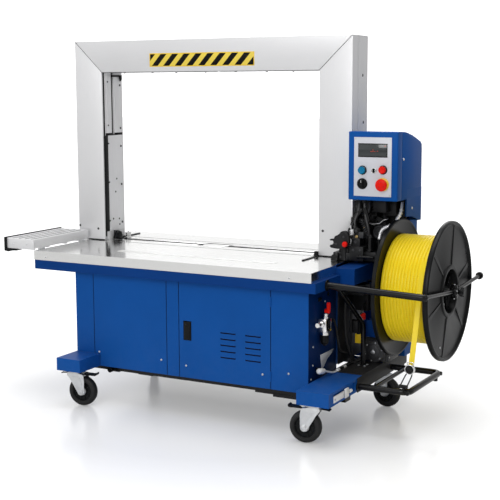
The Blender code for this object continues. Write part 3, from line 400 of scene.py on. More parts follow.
def loft(mesh, loops, ring=False):
    # Skins a run of loops that have the same number of points, and caps both ends.
    rows = [[mesh.verts.new(point) for point in loop] for loop in loops]
    pairs = list(zip(rows, rows[1:])) + ([(rows[-1], rows[0])] if ring else [])
    for first, second in pairs:
        for index in range(len(first)):
            after = (index + 1) % len(first)
            mesh.faces.new((first[index], first[after], second[after], second[index]))
    if not ring:
        mesh.faces.new(rows[0][::-1])
        mesh.faces.new(rows[-1])


sharpAngle = 0.6
mergeDistance = 0.000002


def bevelEdges(mesh, edges, width, segments=2):
    bmesh.ops.bevel(mesh, geom=list(edges), offset=width, segments=segments, profile=0.5,
                    affect="EDGES", material=-1, clamp_overlap=True)


def addBox(mesh, low, high, bevel=0.0, segments=2):
    low, high = at(*low), at(*high)
    middle, size = (low + high) / 2, high - low
    verts = bmesh.ops.create_cube(mesh, size=1)["verts"]
    for vert in verts:
        vert.co = middle + Vector([a * b for a, b in zip(vert.co, size)])
    if bevel:
        bevelEdges(mesh, {edge for vert in verts for edge in vert.link_edges}, bevel, segments)


def addPrism(mesh, outline, axis, low, high, bevel=0.0, segments=2):
    # A flat outline given a thickness along one axis.
    order = {"X": lambda a, b, c: (c, a, b), "Y": lambda a, b, c: (a, c, b), "Z": lambda a, b,
        c: (a, b, c)}[axis]
    start = len(mesh.faces)
    loft(mesh, [[at(*order(a, b, c)) for a, b in outline] for c in (low, high)])
    mesh.faces.ensure_lookup_table()
    faces = mesh.faces[start:]
    bmesh.ops.recalc_face_normals(mesh, faces=faces)
    if bevel:
        edges = {edge for face in faces for edge in face.edges}
        bevelEdges(mesh, [edge for edge in edges
            if edge.is_convex and edge.calc_face_angle(0) > sharpAngle], bevel, segments)


def aimed(start, axis):
    # A frame at a point whose Z runs along the axis.
    return Matrix.Translation(at(*start)) @ Vector(axis).to_track_quat("Z", "Y").to_matrix().to_4x4()


def addRings(mesh, start, axis, rings, sides=24):
    # A capped round shape from (radius, distance along the axis) pairs; a negative radius gives a hexagon.
    place = aimed(start, axis)
    loops = []
    for radius, along in rings:
        loop = []
        for step in range(sides):
            angle = 2 * pi * step / sides
            reach = radius if radius >= 0 else -radius / cos((angle % (pi / 3)) - pi / 6)
            loop.append(place @ Vector((reach * cos(angle), reach * sin(angle), along)))
        loops.append(loop)
    loft(mesh, loops)


def addRod(mesh, start, end, radius, bevel=0.0008, sides=24, endRadius=None):
    run = Vector(end) - Vector(start)
    last = endRadius or radius
    rings = [(radius - bevel, 0), (radius, bevel), (last, run.length - bevel), (last - bevel, run.length)]
    addRings(mesh, start, run, rings, sides)


def addTurned(mesh, profile, start, axis, steps=64, closed=False):
    # Spins (radius, along) points about an axis.
    place = aimed(start, axis)
    verts = [mesh.verts.new(place @ Vector((radius, 0, along))) for radius, along in profile]
    ends = verts[1:] + verts[:1] if closed else verts[1:]
    edges = [mesh.edges.new(pair) for pair in zip(verts, ends)]
    bmesh.ops.spin(mesh, geom=verts + edges, cent=place.translation, axis=place.to_3x3() @ Vector((0, 0, 1)),
                   dvec=(0, 0, 0), angle=2 * pi, steps=steps, use_merge=True)


def roundedRoute(points, corner, steps=6):
    # The corners of a route eased into arcs; corner is how far back from each the arc starts.
    points = [Vector(point) for point in points]
    route = [points[0]]
    for before, here, after in zip(points, points[1:], points[2:]):
        reach = min(corner, (before - here).length * 0.49, (after - here).length * 0.49)
        start, end = here + (before - here).normalized() * reach, here + (after - here).normalized() * reach
        for step in range(steps + 1):
            t = step / steps
            route.append(start * (1 - t) ** 2 + here * 2 * t * (1 - t) + end * t * t)
    return route + [points[-1]]


def addTube(mesh, points, radius, corner=0.02, sides=14, steps=6):
    # A round bar or hose along a route with eased corners.
    route = [at(*point) for point in roundedRoute(points, corner, steps)]
    heading = (route[1] - route[0]).normalized()
    side = heading.orthogonal().normalized()
    loops = []
    for index, point in enumerate(route):
        ahead = route[min(index + 1, len(route) - 1)] - route[max(index - 1, 0)]
        turn = heading.rotation_difference(ahead.normalized())
        side, heading = turn @ side, ahead.normalized()
        other = heading.cross(side)
        loops.append([point + (side * cos(a) + other * sin(a)) * radius
                      for a in [2 * pi * step / sides for step in range(sides)]])
    loft(mesh, loops)


def around(count, start=0.0):
    return [2 * pi * step / count + start for step in range(count)]


def addCap(mesh, place, axis, radius=0.004, height=0.003):
    # A socket cap screw.
    key = radius * 0.5
    addRings(mesh, place, axis, [(radius, 0), (radius, height * 0.8), (radius * 0.88, height), (-key, height),
                                 (-key * 0.96, height * 0.45)])


def addDome(mesh, place, axis, radius=0.0045, height=0.0026):
    # A domed screw with a hexagon socket.
    rings = [(radius, 0), (radius * 0.97, height * 0.35), (radius * 0.82, height * 0.75),
        (radius * 0.58, height), (-radius * 0.4, height), (-radius * 0.38, height * 0.45)]
    addRings(mesh, place, axis, rings)


def addBolt(mesh, place, axis, size=0.005, height=0.0035):
    # A hexagon bolt head on its washer.
    addRings(mesh, place, axis, [(size * 1.45, 0), (size * 1.45, height * 0.25), (-size, height * 0.26),
                                 (-size, height * 0.92), (size * 0.88, height)])


def addSpring(mesh, start, end, radius, wire, turns):
    # A coil spring between two points.
    place = aimed(start, Vector(end) - Vector(start))
    length = (Vector(end) - Vector(start)).length
    back = at(0, 0, 0)
    count = int(turns * 14)
    points = []
    for step in range(count + 1):
        angle = 2 * pi * turns * step / count
        points.append(place @ Vector((radius * cos(angle), radius * sin(angle),
            length * step / count)) - back)
    addTube(mesh, points, wire, corner=0.0, sides=8, steps=1)


def newPiece(name, mesh, material, body="frame", stands=(), crease=32):
    # Tidies a mesh, turns it into an object and ties it to its body.
    bmesh.ops.remove_doubles(mesh, verts=mesh.verts, dist=mergeDistance)
    bmesh.ops.recalc_face_normals(mesh, faces=mesh.faces)
    for face in mesh.faces:
        face.smooth = True
    for edge in mesh.edges:
        edge.smooth = edge.calc_face_angle(0) < radians(crease)
    data = bpy.data.meshes.new(name)
    mesh.to_mesh(data)
    mesh.free()
    data.materials.append(material)
    item = bpy.data.objects.new(name, data)
    pieces.objects.link(item)
    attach(item, body)
    if stands:
        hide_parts(*stands)
    return item


def shaped(add, *values):
    # A mesh with one shape in it.
    mesh = bmesh.new()
    add(mesh, *values)
    return mesh


# Arch.

archLook = {
    "inner": 0.425, "outer": 0.5394, "depth": 0.126, "foot": 0.5043, "innerTop": 1.1052, "top": 1.2142,
    "seam": 0.0011, "edge": 0.0014, "slot": (0.057, 0.071, 0.011), "groove": (0.006, 0.0175, 0.007),
    "sideGroove": (0.0475, 0.051, 0.0016),
    "covers": ((0.025, 0.0545, 0.886, 1.092), (0.0735, 0.115, 0.886, 1.092), (0.031, 0.118, 0.534, 0.884)),
    "hingeHeights": (0.56, 0.7, 0.84, 0.905, 1.06), "beamCovers": (-0.34, -0.12, 0.12, 0.34),
    "frontScrews": ((-0.454, 0.545), (-0.535, 0.553), (0.44, 0.588), (0.5345, 0.6)),
    "footScrews": ((-0.41, 0.06, 0.5285), (-0.4, 0.111, 0.523)),
    "sideHoles": ((0.084, 1.088), (0.092, 0.938), (0.088, 0.64), (0.086, 0.79)),
    "innerHoles": ((0.07, 0.675), (0.078, 0.722), (0.053, 0.577), (0.09, 0.574), (0.092, 0.553)),
    "topClips": (-0.3, 0.0, 0.3),
    "hookOutline": [(0.06, 1.096), (0.118, 1.096), (0.118, 1.08), (0.108, 1.074), (0.104, 1.09),
        (0.06, 1.09)],
    "catchOutline": [(0.046, 0.5045), (0.094, 0.5045), (0.088, 0.526), (0.07, 0.533), (0.056, 0.524)],
    "bandBoxes": (((-0.4225, 0.092, 0.5042), (-0.4145, 0.214, 0.5075)),
        ((0.4185, -0.114, 0.5042), (0.4265, -0.006, 0.5075))),
    "plateBoxes": (((-0.404, 0.098, 0.5042), (-0.396, 0.124, 0.523), 0.001),
        ((-0.411, 0.1, 0.5042), (-0.39, 0.124, 0.5062), 0.0006)),
}


def archMember(name, side, material, stands):
    # A column, or the beam when side is 0: one hollow-looking section cut at 45 degrees.
    look = archLook
    inner, outer, depth = look["inner"], look["outer"], look["depth"]
    outline = [(inner, 0), (outer, 0)]
    for edge, sign, cuts in ((outer, -1, ["sideGroove"]), (inner, 1, ["slot", "groove"])):
        if edge == inner:
            outline += [(outer, depth), (inner, depth)]
        for cut in cuts:
            low, high, deep = look[cut]
            ends = (low, high) if edge == outer else (high, low)
            outline += [(edge, ends[0]), (edge + sign * deep, ends[0]), (edge + sign * deep, ends[1]),
                (edge, ends[1])]
    rise = (look["top"] - look["innerTop"]) / (outer - inner)
    mesh = bmesh.new()
    if side:
        loft(mesh, [[at(side * u, y, look["foot"]) for u, y in outline],
            [at(side * u, y, look["innerTop"] + (u - inner) * rise - look["seam"]) for u, y in outline]])
    else:
        loft(mesh, [[at(end * (u - look["seam"]), y, look["innerTop"] + (u - inner) * rise) for u,
            y in outline] for end in (-1, 1)])
    bmesh.ops.recalc_face_normals(mesh, faces=mesh.faces)
    bevelEdges(mesh, [e for e in mesh.edges if e.is_convex and e.calc_face_angle(0) > sharpAngle],
        look["edge"])
    newPiece(name, mesh, material, stands=stands)


def buildArch():
    archMember("archLeftLook", -1, columnMetal, ("arch_left_column",))
    archMember("archRightLook", 1, columnMetal, ("arch_right_column",))
    archMember("archBeamLook", 0, beamMetal, ("arch_top_beam",))
    look = archLook
    inner, foot, under = look["inner"], look["foot"], look["innerTop"]

    # Black wipers fill the front groove, and black boxes in the strap slot and in the mitre joints paint the
    # shade inside them.
    wipers = bmesh.new()
    archSlotShadeMesh = bmesh.new()
    for side in (-1, 1):
        near, far = sorted((side * (inner + 0.0012), side * (inner + 0.0068)))
        addBox(wipers, (near, 0.0068, foot + 0.012), (far, 0.0167, under - 0.002), 0.0006)
        near, far = sorted((side * (inner + 0.006), side * (inner + 0.0108)))
        addBox(archSlotShadeMesh, (near, 0.0575, foot + 0.003), (far, 0.0705, under + 0.006))
    addBox(wipers, (-inner + 0.004, 0.0068, under + 0.0012), (inner - 0.004, 0.0167, under + 0.0066), 0.0006)
    addBox(archSlotShadeMesh, (-inner, 0.0575, under + 0.006), (inner, 0.0705, under + 0.0102))
    rise = (look["top"] - under) / (look["outer"] - inner)
    for side in (-1, 1):
        loops = []
        for y in (0.001, look["depth"] - 0.001):
            loops.append([at(side * x, y, under + (x - inner) * rise + lift) for x,
                lift in ((inner + 0.001, -0.0012), (look["outer"] - 0.001, -0.0012),
                (look["outer"] - 0.001, 0.0), (inner + 0.001, 0.0))])
        loft(archSlotShadeMesh, loops)
    newPiece("archWipers", wipers, blackPlastic)
    newPiece("archSlotShade", archSlotShadeMesh, blackAndPaintedShade)

    # Track covers on the inner faces: two beside the slot above the dark band, one across it below.
    covers = bmesh.new()
    hinges = bmesh.new()
    for side in (-1, 1):
        near, far = sorted((side * (inner - 0.0016), side * (inner - 0.0001)))
        for front, rear, low, high in look["covers"]:
            addBox(covers, (near, front, low), (far, rear, high), 0.0005)
        for z in look["hingeHeights"]:
            addDome(hinges, (side * (inner - 0.0016), 0.1085, z), (-side, 0, 0), 0.004, 0.0022)
            addDome(hinges, (side * (inner - 0.0016), 0.032, z + 0.012), (-side, 0, 0), 0.0032, 0.0018)
    for x in look["beamCovers"]:
        addBox(covers, (x - 0.105, 0.0735, under - 0.0016), (x + 0.105, 0.115, under - 0.0001), 0.0005)
        addDome(hinges, (x - 0.06, 0.1085, under - 0.0016), downward, 0.004, 0.0022)
        addDome(hinges, (x + 0.06, 0.1085, under - 0.0016), downward, 0.004, 0.0022)
    newPiece("archTrackCovers", covers, trackMetal)

    bands = bmesh.new()
    addBox(bands, (-inner - 0.001, 0.018, 0.8805), (-inner + 0.002, 0.056, 0.8895), 0.0006)
    addBox(bands, (-inner - 0.001, 0.072, 0.8805), (-inner + 0.002, 0.12, 0.8895), 0.0006)
    addBox(bands, (-inner - 0.001, 0.056, 0.8805), (-inner + 0.002, 0.072, 0.8845), 0.0006)
    addBox(bands, (-inner - 0.001, 0.005, 0.534), (-inner + 0.0008, 0.0305, 0.8805), 0.0004)
    # A dark gasket under each column, and the shadow edge along the beam.
    for low, high in ((-look["outer"] - 0.0008, -inner), (inner, look["outer"] + 0.0008)):
        addBox(bands, (low, -0.0012, 0.5041), (high, 0.0006, 0.5074), 0.0004)
    addBox(bands, (-inner, 0.001, under - 0.0014), (inner, 0.0062, under - 0.0001), 0.0003)
    addPrism(bands, look["hookOutline"], "X", -inner + 0.002, -inner + 0.006, 0.0008)
    # The black catch at the foot of the left column, and the two strap fingers on the table.
    addPrism(bands, look["catchOutline"], "X", -0.4235, -0.411, 0.002)
    addRod(bands, (-0.4245, 0.07, 0.5225), (-0.406, 0.07, 0.5225), 0.0055)
    for box in look["bandBoxes"]:
        addBox(bands, *box, 0.0012)
    addPrism(bands, [(-0.01, 0.5045), (0.018, 0.5045), (0.014, 0.518), (-0.002, 0.52)], "X", 0.412, 0.4235,
        0.0016)
    newPiece("archBlackFittings", bands, blackPlastic)

    plates = bmesh.new()
    addPrism(plates, [(0.3985, 1.1035), (0.4235, 1.1035), (0.4235, 1.0725)], "Y", 0.074, 0.078, 0.0005)
    for box in look["plateBoxes"]:
        addBox(plates, *box)
    newPiece("archSmallPlates", plates, brightMetal)

    for x, z in look["frontScrews"]:
        addDome(hinges, (x, 0.0004, z), toFront, 0.0042, 0.0024)
    for x, y, z in look["footScrews"]:
        addDome(hinges, (x, y, z), upward if y > 0.1 else toRight, 0.0035, 0.0022)
    newPiece("archScrews", hinges, greyCast)

    # Black discs in the side and inner holes paint the shade inside them, and bright rims ring the side
    # holes.
    holes = bmesh.new()
    rims = bmesh.new()
    for y, z in look["sideHoles"]:
        for side in (-1, 1):
            x = side * look["outer"]
            addRings(holes, (x, y, z), (side, 0, 0), [(0.0052, -0.001), (0.0052, 0.0002)])
            addTurned(rims, [(0.005, 0), (0.0056, 0.0006), (0.0068, 0.0006), (0.0072, 0)], (x, y, z),
                (side, 0, 0), 24)
    for y, z in look["innerHoles"]:
        for side in (-1, 1):
            addRings(holes, (side * (inner - 0.0016), y, z), (-side, 0, 0),
                [(0.0032, -0.0006), (0.0032, 0.0004)])
    newPiece("archHoleShade", holes, blackAndPaintedShade)
    newPiece("archHoleRims", rims, trackMetal)

    # Small clips lie along the beam's top.
    top = bmesh.new()
    for x in look["topClips"]:
        addBox(top, (x - 0.02, 0.04, look["top"] - 0.001), (x + 0.02, 0.086, look["top"] + 0.0016), 0.0006)
    newPiece("archTopClips", top, trackMetal)
    print("arch ready")


hazardLook = {
    "left": -0.218, "right": 0.187, "low": 1.125, "high": 1.165, "pitch": 0.0467, "lean": 0.92,
    "rim": 0.003,
}


def hazardFinish():
    look = hazardLook
    material = finish("hazardStripes", (0.9, 0.69, 0.1), 0.42, shade=0.03, edge=0, specular=0.1)
    tree = material.node_tree
    shader = tree.nodes["Principled BSDF"]
    ground = shader.inputs["Base Color"].links[0].from_socket
    apart = addNode(tree, "ShaderNodeSeparateXYZ")
    tree.links.new(addNode(tree, "ShaderNodeTexCoord").outputs["Object"], apart.inputs[0])
    along = mathNode(tree, "SUBTRACT", apart.outputs["X"], mathNode(tree, "MULTIPLY", apart.outputs["Z"],
        look["lean"]))
    turns = mathNode(tree, "FRACT", mathNode(tree, "ADD", mathNode(tree, "DIVIDE", along, look["pitch"]),
        100.25))
    dark = mathNode(tree, "GREATER_THAN", turns, 0.48)
    tree.links.new(mixColour(tree, dark, ground, (0.003, 0.003, 0.003)), shader.inputs["Base Color"])
    return material


def buildHazardLabel():
    look = hazardLook
    newPiece("hazardLabel", shaped(addBox, (look["left"], -0.0006, look["low"]),
        (look["right"], 0.0004, look["high"]), 0.0002), hazardFinish())
    border = bmesh.new()
    rim = look["rim"]
    addBox(border, (look["left"] - rim, -0.0004, look["low"] - rim),
        (look["right"] + rim, 0.0003, look["high"] + rim), 0.0001)
    newPiece("hazardBacking", border, yellowPlastic)


buildArch()
buildHazardLabel()

# Table.

tableLook = {
    "top": 0.504, "front": -0.323, "glides": ((-0.227, 0.072), (0.074, 0.369)),
    "anvilRibs": ((0.034, 0.01), (0.05, 0.01), (0.082, 0.012)),
    "railSpans": ((-0.418, -0.06), (0.06, 0.418)), "railSides": ((0.04, 0.0545), (0.0735, 0.09)),
    "wiperSpans": ((-0.424, -0.052), (0.052, 0.424)),
    "trackScrews": (-0.38, -0.27, -0.16, -0.09, 0.09, 0.16, 0.27, 0.38),
}


def buildTable():
    look = tableLook
    top = look["top"]
    strips = bmesh.new()
    for left, right in look["glides"]:
        addBox(strips, (left, -0.207, top - 0.0002), (right, -0.183, top + 0.0008), 0.0004)
    newPiece("glideStrips", strips, whitePlastic)

    # Flush screws hold the plates, and button screws hold the lip.
    screws = bmesh.new()
    places = [(x, y) for x in (-0.455, -0.25, 0.26, 0.47) for y in (-0.292, -0.03)]
    places += [(x, y) for x in (-0.455, -0.2, 0.2, 0.47) for y in (0.15, 0.245)]
    for x, y in places:
        addRings(screws, (x, y, top), upward, [(0.0052, -0.0005), (0.0052, 0.0002), (0.0048, 0.0004),
                                                  (-0.0022, 0.0004), (-0.0021, -0.001)])
    for x in (0.477, -0.44):
        addDome(screws, (x, look["front"], 0.484), toFront, 0.0034, 0.0016)
    newPiece("tableScrews", screws, zincMetal)

    # Fine black strips under the edges of the strap track's bed paint the shade in the seams there.
    seams = bmesh.new()
    addBox(seams, (-0.484, -0.0058, top - 0.003), (0.545, -0.0002, top - 0.0006))
    addBox(seams, (-0.484, 0.1262, top - 0.003), (0.54, 0.1318, top - 0.0006))
    newPiece("tableSeamShade", seams, blackAndPaintedShade)

    anvil = bmesh.new()
    for y, wide in look["anvilRibs"]:
        addBox(anvil, (-0.046, y - wide / 2, 0.503), (0.046, y + wide / 2, 0.5044), 0.0004)
    for x in (-0.04, 0.04):
        addCap(anvil, (x, 0.066, 0.5032), upward, 0.0034, 0.001)
    newPiece("anvilRibs", anvil, brightMetal, "anvil_slide")

    # Track side plates and their small screws lie along the strap slot.
    rails = bmesh.new()
    for left, right in look["railSpans"]:
        for front, rear in look["railSides"]:
            addBox(rails, (left, front, top - 0.0005), (right, rear, top + 0.0004), 0.0002)
    newPiece("trackRails", rails, tableMetal)
    wiper = bmesh.new()
    for left, right in look["wiperSpans"]:
        addBox(wiper, (left, 0.0545, top - 0.003), (right, 0.0635, top + 0.0006), 0.0002)
        addBox(wiper, (left, 0.0643, top - 0.003), (right, 0.0735, top + 0.0006), 0.0002)
    newPiece("trackWipers", wiper, blackAndPaintedShade)
    dots = bmesh.new()
    for x in look["trackScrews"]:
        for y in (0.0475, 0.0815):
            addCap(dots, (x, y, top + 0.0004), upward, 0.003, 0.0008)
    newPiece("trackScrews", dots, zincMetal)
    print("table ready")


# Cabinet.

cabinetLook = {
    "face": -0.293, "side": 0.528,
    "frontScrews": ((-0.001, 0.172), (-0.248, 0.172), (0.462, 0.181)),
    "sideScrews": ((-0.173, 0.393), (-0.259, 0.265), (-0.261, 0.207), (-0.273, 0.166)),
    "leftScrewRows": (-0.27, -0.08, 0.11, 0.22), "rearScrewRows": (-0.318, -0.1, 0.1, 0.31, 0.51),
    "seams": (-0.267, 0.021, 0.068, 0.4),
    "underLumps": ((-0.24, -0.19, -0.262), (-0.02, 0.06, -0.25), (0.33, 0.47, -0.268),
        (-0.12, -0.06, -0.255)),
    "latchBoxes": (((0.086, -0.2948, 0.249), (0.113, -0.29, 0.309), 0.0014),
        ((0.0895, -0.2962, 0.254), (0.1095, -0.2944, 0.29), 0.001)),
}
doorLook = {
    "rear": -0.281, "slots": (0.249, 0.338), "slotWide": 0.054,
    "first": 0.204, "pitch": 0.0198, "rows": 5, "slotHigh": 0.0045,
    "screws": ((0.094, 0.164), (0.372, 0.168)),
}


def buildCabinet():
    look = cabinetLook
    face, side = look["face"], look["side"]
    screws = bmesh.new()
    for x, z in cabinetLook["frontScrews"]:
        addDome(screws, (x, face, z), toFront, 0.0038, 0.0024)
    for y, z in cabinetLook["sideScrews"]:
        addDome(screws, (side, y, z), toRight, 0.0036, 0.0022)
    for y in cabinetLook["leftScrewRows"]:
        for z in (0.19, 0.42):
            addDome(screws, (-0.34, y, z), toLeft, 0.0042, 0.0026)
    for x in cabinetLook["rearScrewRows"]:
        for z in (0.145, 0.425):
            addDome(screws, (x, 0.24, z), toRear, 0.0042, 0.0026)
    newPiece("cabinetScrews", screws, zincMetal)
    # A thin navy sheet over the end wall paints the shade that falls on it.
    newPiece("endWallShadePlate", shaped(addBox, (side - 0.0004, -0.2905, 0.1255),
        (side + 0.0005, -0.087, 0.4405), 0.0004), endWallShadeBlue)

    doorScrews = bmesh.new()
    for x, z in doorLook["screws"]:
        addDome(doorScrews, (x, face, z), toFront, 0.0038, 0.0024)
    newPiece("doorScrews", doorScrews, zincMetal, "door")

    # Each louvre is pressed out of the door above its slot.
    look = doorLook
    hoods = bmesh.new()
    for x in look["slots"]:
        for row in range(look["rows"]):
            low = look["first"] + look["pitch"] * row + look["slotHigh"]
            half = look["slotWide"] / 2
            loops = []
            for step in range(13):
                u = -1 + 2 * step / 12
                bulge = 0.0011 * (1 - u ** 4) ** 0.5 + 0.00005
                loops.append([at(x + half * u, face + 0.0004, low + 0.0052),
                    at(x + half * u, face - bulge * 0.75, low + 0.0022),
                    at(x + half * u, face - bulge, low - 0.0006),
                    at(x + half * u, face - bulge + 0.0008, low - 0.0009),
                    at(x + half * u, face + 0.0004, low - 0.0002)])
            loft(hoods, loops)
    newPiece("doorLouvres", hoods, bluePaint, "door")
    # Black boxes fill each louvre slot and a black sheet lies behind them: painted shade inside the cabinet.
    louvreShadeFill = bmesh.new()
    for x in look["slots"]:
        for row in range(look["rows"]):
            low = look["first"] + look["pitch"] * row
            addBox(louvreShadeFill, (x - look["slotWide"] / 2, face - 0.0003, low - 0.0002),
                   (x + look["slotWide"] / 2, face + 0.002, low + look["slotHigh"] + 0.0003))
    addBox(louvreShadeFill, (look["slots"][0] - 0.04, look["rear"] - 0.0096, 0.19),
        (look["slots"][1] + 0.04, look["rear"] - 0.0086, 0.33))
    newPiece("doorSlotShade", louvreShadeFill, blackAndPaintedShade, "door")

    hinges = bmesh.new()
    for z in (0.165, 0.4):
        addRod(hinges, (0.4, face - 0.001, z - 0.016), (0.4, face - 0.001, z + 0.016), 0.0024, 0.0006, 16)
    newPiece("doorHinges", hinges, bluePaint)

    latch = bmesh.new()
    for box in cabinetLook["latchBoxes"]:
        addBox(latch, *box)
    addRod(latch, (0.0995, -0.2966, 0.299), (0.0995, -0.2942, 0.299), 0.0048, 0.0006)
    newPiece("doorLatchLook", latch, blackPlastic, "latch", stands=("door_latch",))

    # Black strips behind the panel gaps and under the table overhang paint the shade there.
    gapShade = bmesh.new()
    for x in cabinetLook["seams"]:
        addBox(gapShade, (x - 0.0011, face + 0.001, 0.125), (x + 0.0011, face + 0.01, 0.4414))
    addBox(gapShade, (-0.339, face + 0.004, 0.4412), (0.527, face + 0.011, 0.442))
    addBox(gapShade, (side - 0.006, -0.0853, 0.125), (side - 0.0004, -0.0837, 0.441))
    newPiece("panelGapShade", gapShade, blackAndPaintedShade)

    # The back has two vent fields and a cable gland.
    vents = bmesh.new()
    for x in (-0.18, 0.2):
        for row in range(9):
            z = 0.25 + 0.016 * row
            addPrism(vents, [(0.2402, z), (0.2436, z + 0.002), (0.2402, z + 0.009)], "X", x - 0.055,
                x + 0.055, 0.0006)
    newPiece("rearVents", vents, bluePaint)
    newPiece("rearGland", shaped(addRings, (0.42, 0.24, 0.18), toRear,
        [(-0.013, 0), (-0.013, 0.006), (0.011, 0.007), (0.0095, 0.016), (0.006, 0.019), (0.006, 0.01)]),
        blackPlastic)

    under = bmesh.new()
    for left, right, y in cabinetLook["underLumps"]:
        addBox(under, (left, y, 0.1), (right, y + 0.05, 0.124), 0.003)
    addRod(under, (-0.215, -0.284, 0.111), (-0.215, -0.24, 0.111), 0.0095)
    for x in (0.35, 0.45):
        addBolt(under, (x, -0.268, 0.112), toFront, 0.0048)
    newPiece("underFrameLumps", under, blackPaint)
    print("cabinet ready")


# Feet and casters.

casterLook = {
    "front_left": ((-0.298, -0.358), 8, True), "front_right": ((0.583, -0.366), 186, True),
    "rear_left": ((-0.29, 0.105), -60, False), "rear_right": ((0.606, 0.105), -12, False), "trail": 0.026,
    "axle": 0.05, "tyre": 0.05, "half": 0.014, "legIn": 0.0172, "legOut": 0.02, "low": 0.124,
    "corners": ((-1, -1), (-1, 1), (1, -1), (1, 1)),
}


def swing(mesh, mount, heading):
    pivot = at(*mount, 0)
    turn = Matrix.Translation(pivot) @ Matrix.Rotation(radians(heading), 4, "Z") @ Matrix.Translation(-pivot)
    bmesh.ops.transform(mesh, matrix=turn, verts=mesh.verts)


def buildCaster(place):
    look = casterLook
    mount, heading, braked = look[place]
    x, y = mount
    axle = x + look["trail"]
    z, tyre, half, low = look["axle"], look["tyre"], look["half"], look["low"]

    plate = bmesh.new()
    addPrism(plate, [(x - 0.031, y - 0.036), (x + 0.031, y - 0.036), (x + 0.031, y + 0.036),
        (x - 0.031, y + 0.036)], "Z", low - 0.0036, low - 0.0003, 0.0007)
    for a, b in look["corners"]:
        addBolt(plate, (x + a * 0.023, y + b * 0.028, low - 0.0036), downward, 0.0052, 0.0042)
    addRings(plate, (x, y, low - 0.0036), downward, [(0.0215, -0.0002), (0.0215, 0.0008), (0.0205, 0.002),
        (0.018, 0.0024)], 40)
    newPiece(place + "_plate", plate, zincMetal)

    fork = bmesh.new()
    addRings(fork, (x, y, low - 0.0062), downward, [(0.018, 0), (0.0215, 0.001), (0.0225, 0.003),
        (0.0215, 0.0048), (0.017, 0.0056)], 40)
    crown = [(x - 0.022, 0.1135), (x + 0.012, 0.1135), (x + 0.034, 0.1085), (x + 0.036, 0.101),
        (x + 0.031, 0.101), (x + 0.01, 0.1095), (x - 0.02, 0.1095), (x - 0.0235, 0.106),
        (x - 0.0245, 0.109)]
    addPrism(fork, crown, "Y", y - look["legOut"] + 0.0002, y + look["legOut"] - 0.0002, 0.0008)
    for end in (-1, 1):
        near, far = sorted((y + end * look["legIn"], y + end * look["legOut"]))
        tail = [(axle + 0.0125 * cos(a), z + 0.0125 * sin(a)) for a in [pi * (1.08 + 0.84 * s / 10)
            for s in range(11)]]
        outline = [(x + 0.0355, 0.107), (x + 0.012, 0.113), (x - 0.022, 0.113), (x - 0.0245, 0.105),
            (x - 0.012, 0.09)]
        addPrism(fork, outline + tail + [(x + 0.039, 0.09)], "Y", near, far, 0.0007)
        rib = [(axle - 0.006, z + 0.02), (axle + 0.006, z + 0.02), (x + 0.022, 0.1), (x - 0.006, 0.1)]
        addPrism(fork, rib, "Y", *sorted((y + end * (look["legOut"] - 0.0002),
            y + end * (look["legOut"] + 0.0012))), 0.0006)
        addBolt(fork, (axle, y + end * look["legOut"], z), (0, end, 0), 0.0066, 0.0046)
        addRings(fork, (axle, y + end * (look["legOut"] + 0.0044), z), (0, end, 0),
            [(0.0036, 0), (0.0036, 0.0014), (0.003, 0.002)])
    swing(fork, mount, heading)
    newPiece(place + "_forkLook", fork, zincMetal, place + "_caster", stands=(place + "_fork",))

    # A solid tyre on a ribbed hub, with its bearing.
    tread = [(0.0335, -half + 0.005), (0.0345, -half + 0.0012), (0.04, -half), (0.0455, -half + 0.0018),
        (0.0485, -half + 0.005), (tyre - 0.0004, -0.0045), (tyre, 0), (tyre - 0.0004, 0.0045),
        (0.0485, half - 0.005), (0.0455, half - 0.0018), (0.04, half), (0.0345, half - 0.0012),
        (0.0335, half - 0.005)]
    wheel = bmesh.new()
    addTurned(wheel, tread, (axle, y, z), toRear, 56, True)
    for end in (-1, 1):
        addTurned(wheel, [(0.0375, end * (half - 0.0003)), (0.0382, end * (half + 0.0004)),
            (0.039, end * (half - 0.0003))], (axle, y, z), toRear, 56, True)
    swing(wheel, mount, heading)
    newPiece(place + "_tyre", wheel, rubberBlack, place + "_roller", stands=(place + "_wheel",))

    hub = bmesh.new()
    addTurned(hub, [(0.015, -0.01), (0.017, -0.0085), (0.018, -0.005), (0.03, -0.005), (0.032, -0.0085),
        (0.034, -0.009), (0.034, 0.009), (0.032, 0.0085), (0.03, 0.005), (0.018, 0.005), (0.017, 0.0085),
        (0.015, 0.01)], (axle, y, z), toRear, 48, True)
    for angle in around(10):
        inner = Vector((axle + 0.0165 * cos(angle), 0, z + 0.0165 * sin(angle)))
        outer = Vector((axle + 0.0325 * cos(angle), 0, z + 0.0325 * sin(angle)))
        side = Vector((-sin(angle), 0, cos(angle))) * 0.0013
        outline = [((inner + side).x, (inner + side).z), ((outer + side).x, (outer + side).z),
                   ((outer - side).x, (outer - side).z), ((inner - side).x, (inner - side).z)]
        addPrism(hub, outline, "Y", y - 0.008, y + 0.008, 0.0004)
    swing(hub, mount, heading)
    newPiece(place + "_hub", hub, blackPlastic, place + "_roller")
    core = bmesh.new()
    addTurned(core, [(0.0062, -0.0155), (0.011, -0.015), (0.014, -0.0125), (0.0148, -0.01), (0.0148, 0.01),
        (0.014, 0.0125), (0.011, 0.015), (0.0062, 0.0155)], (axle, y, z), toRear, 32, True)
    swing(core, mount, heading)
    newPiece(place + "_bearing", core, zincMetal, place + "_roller")

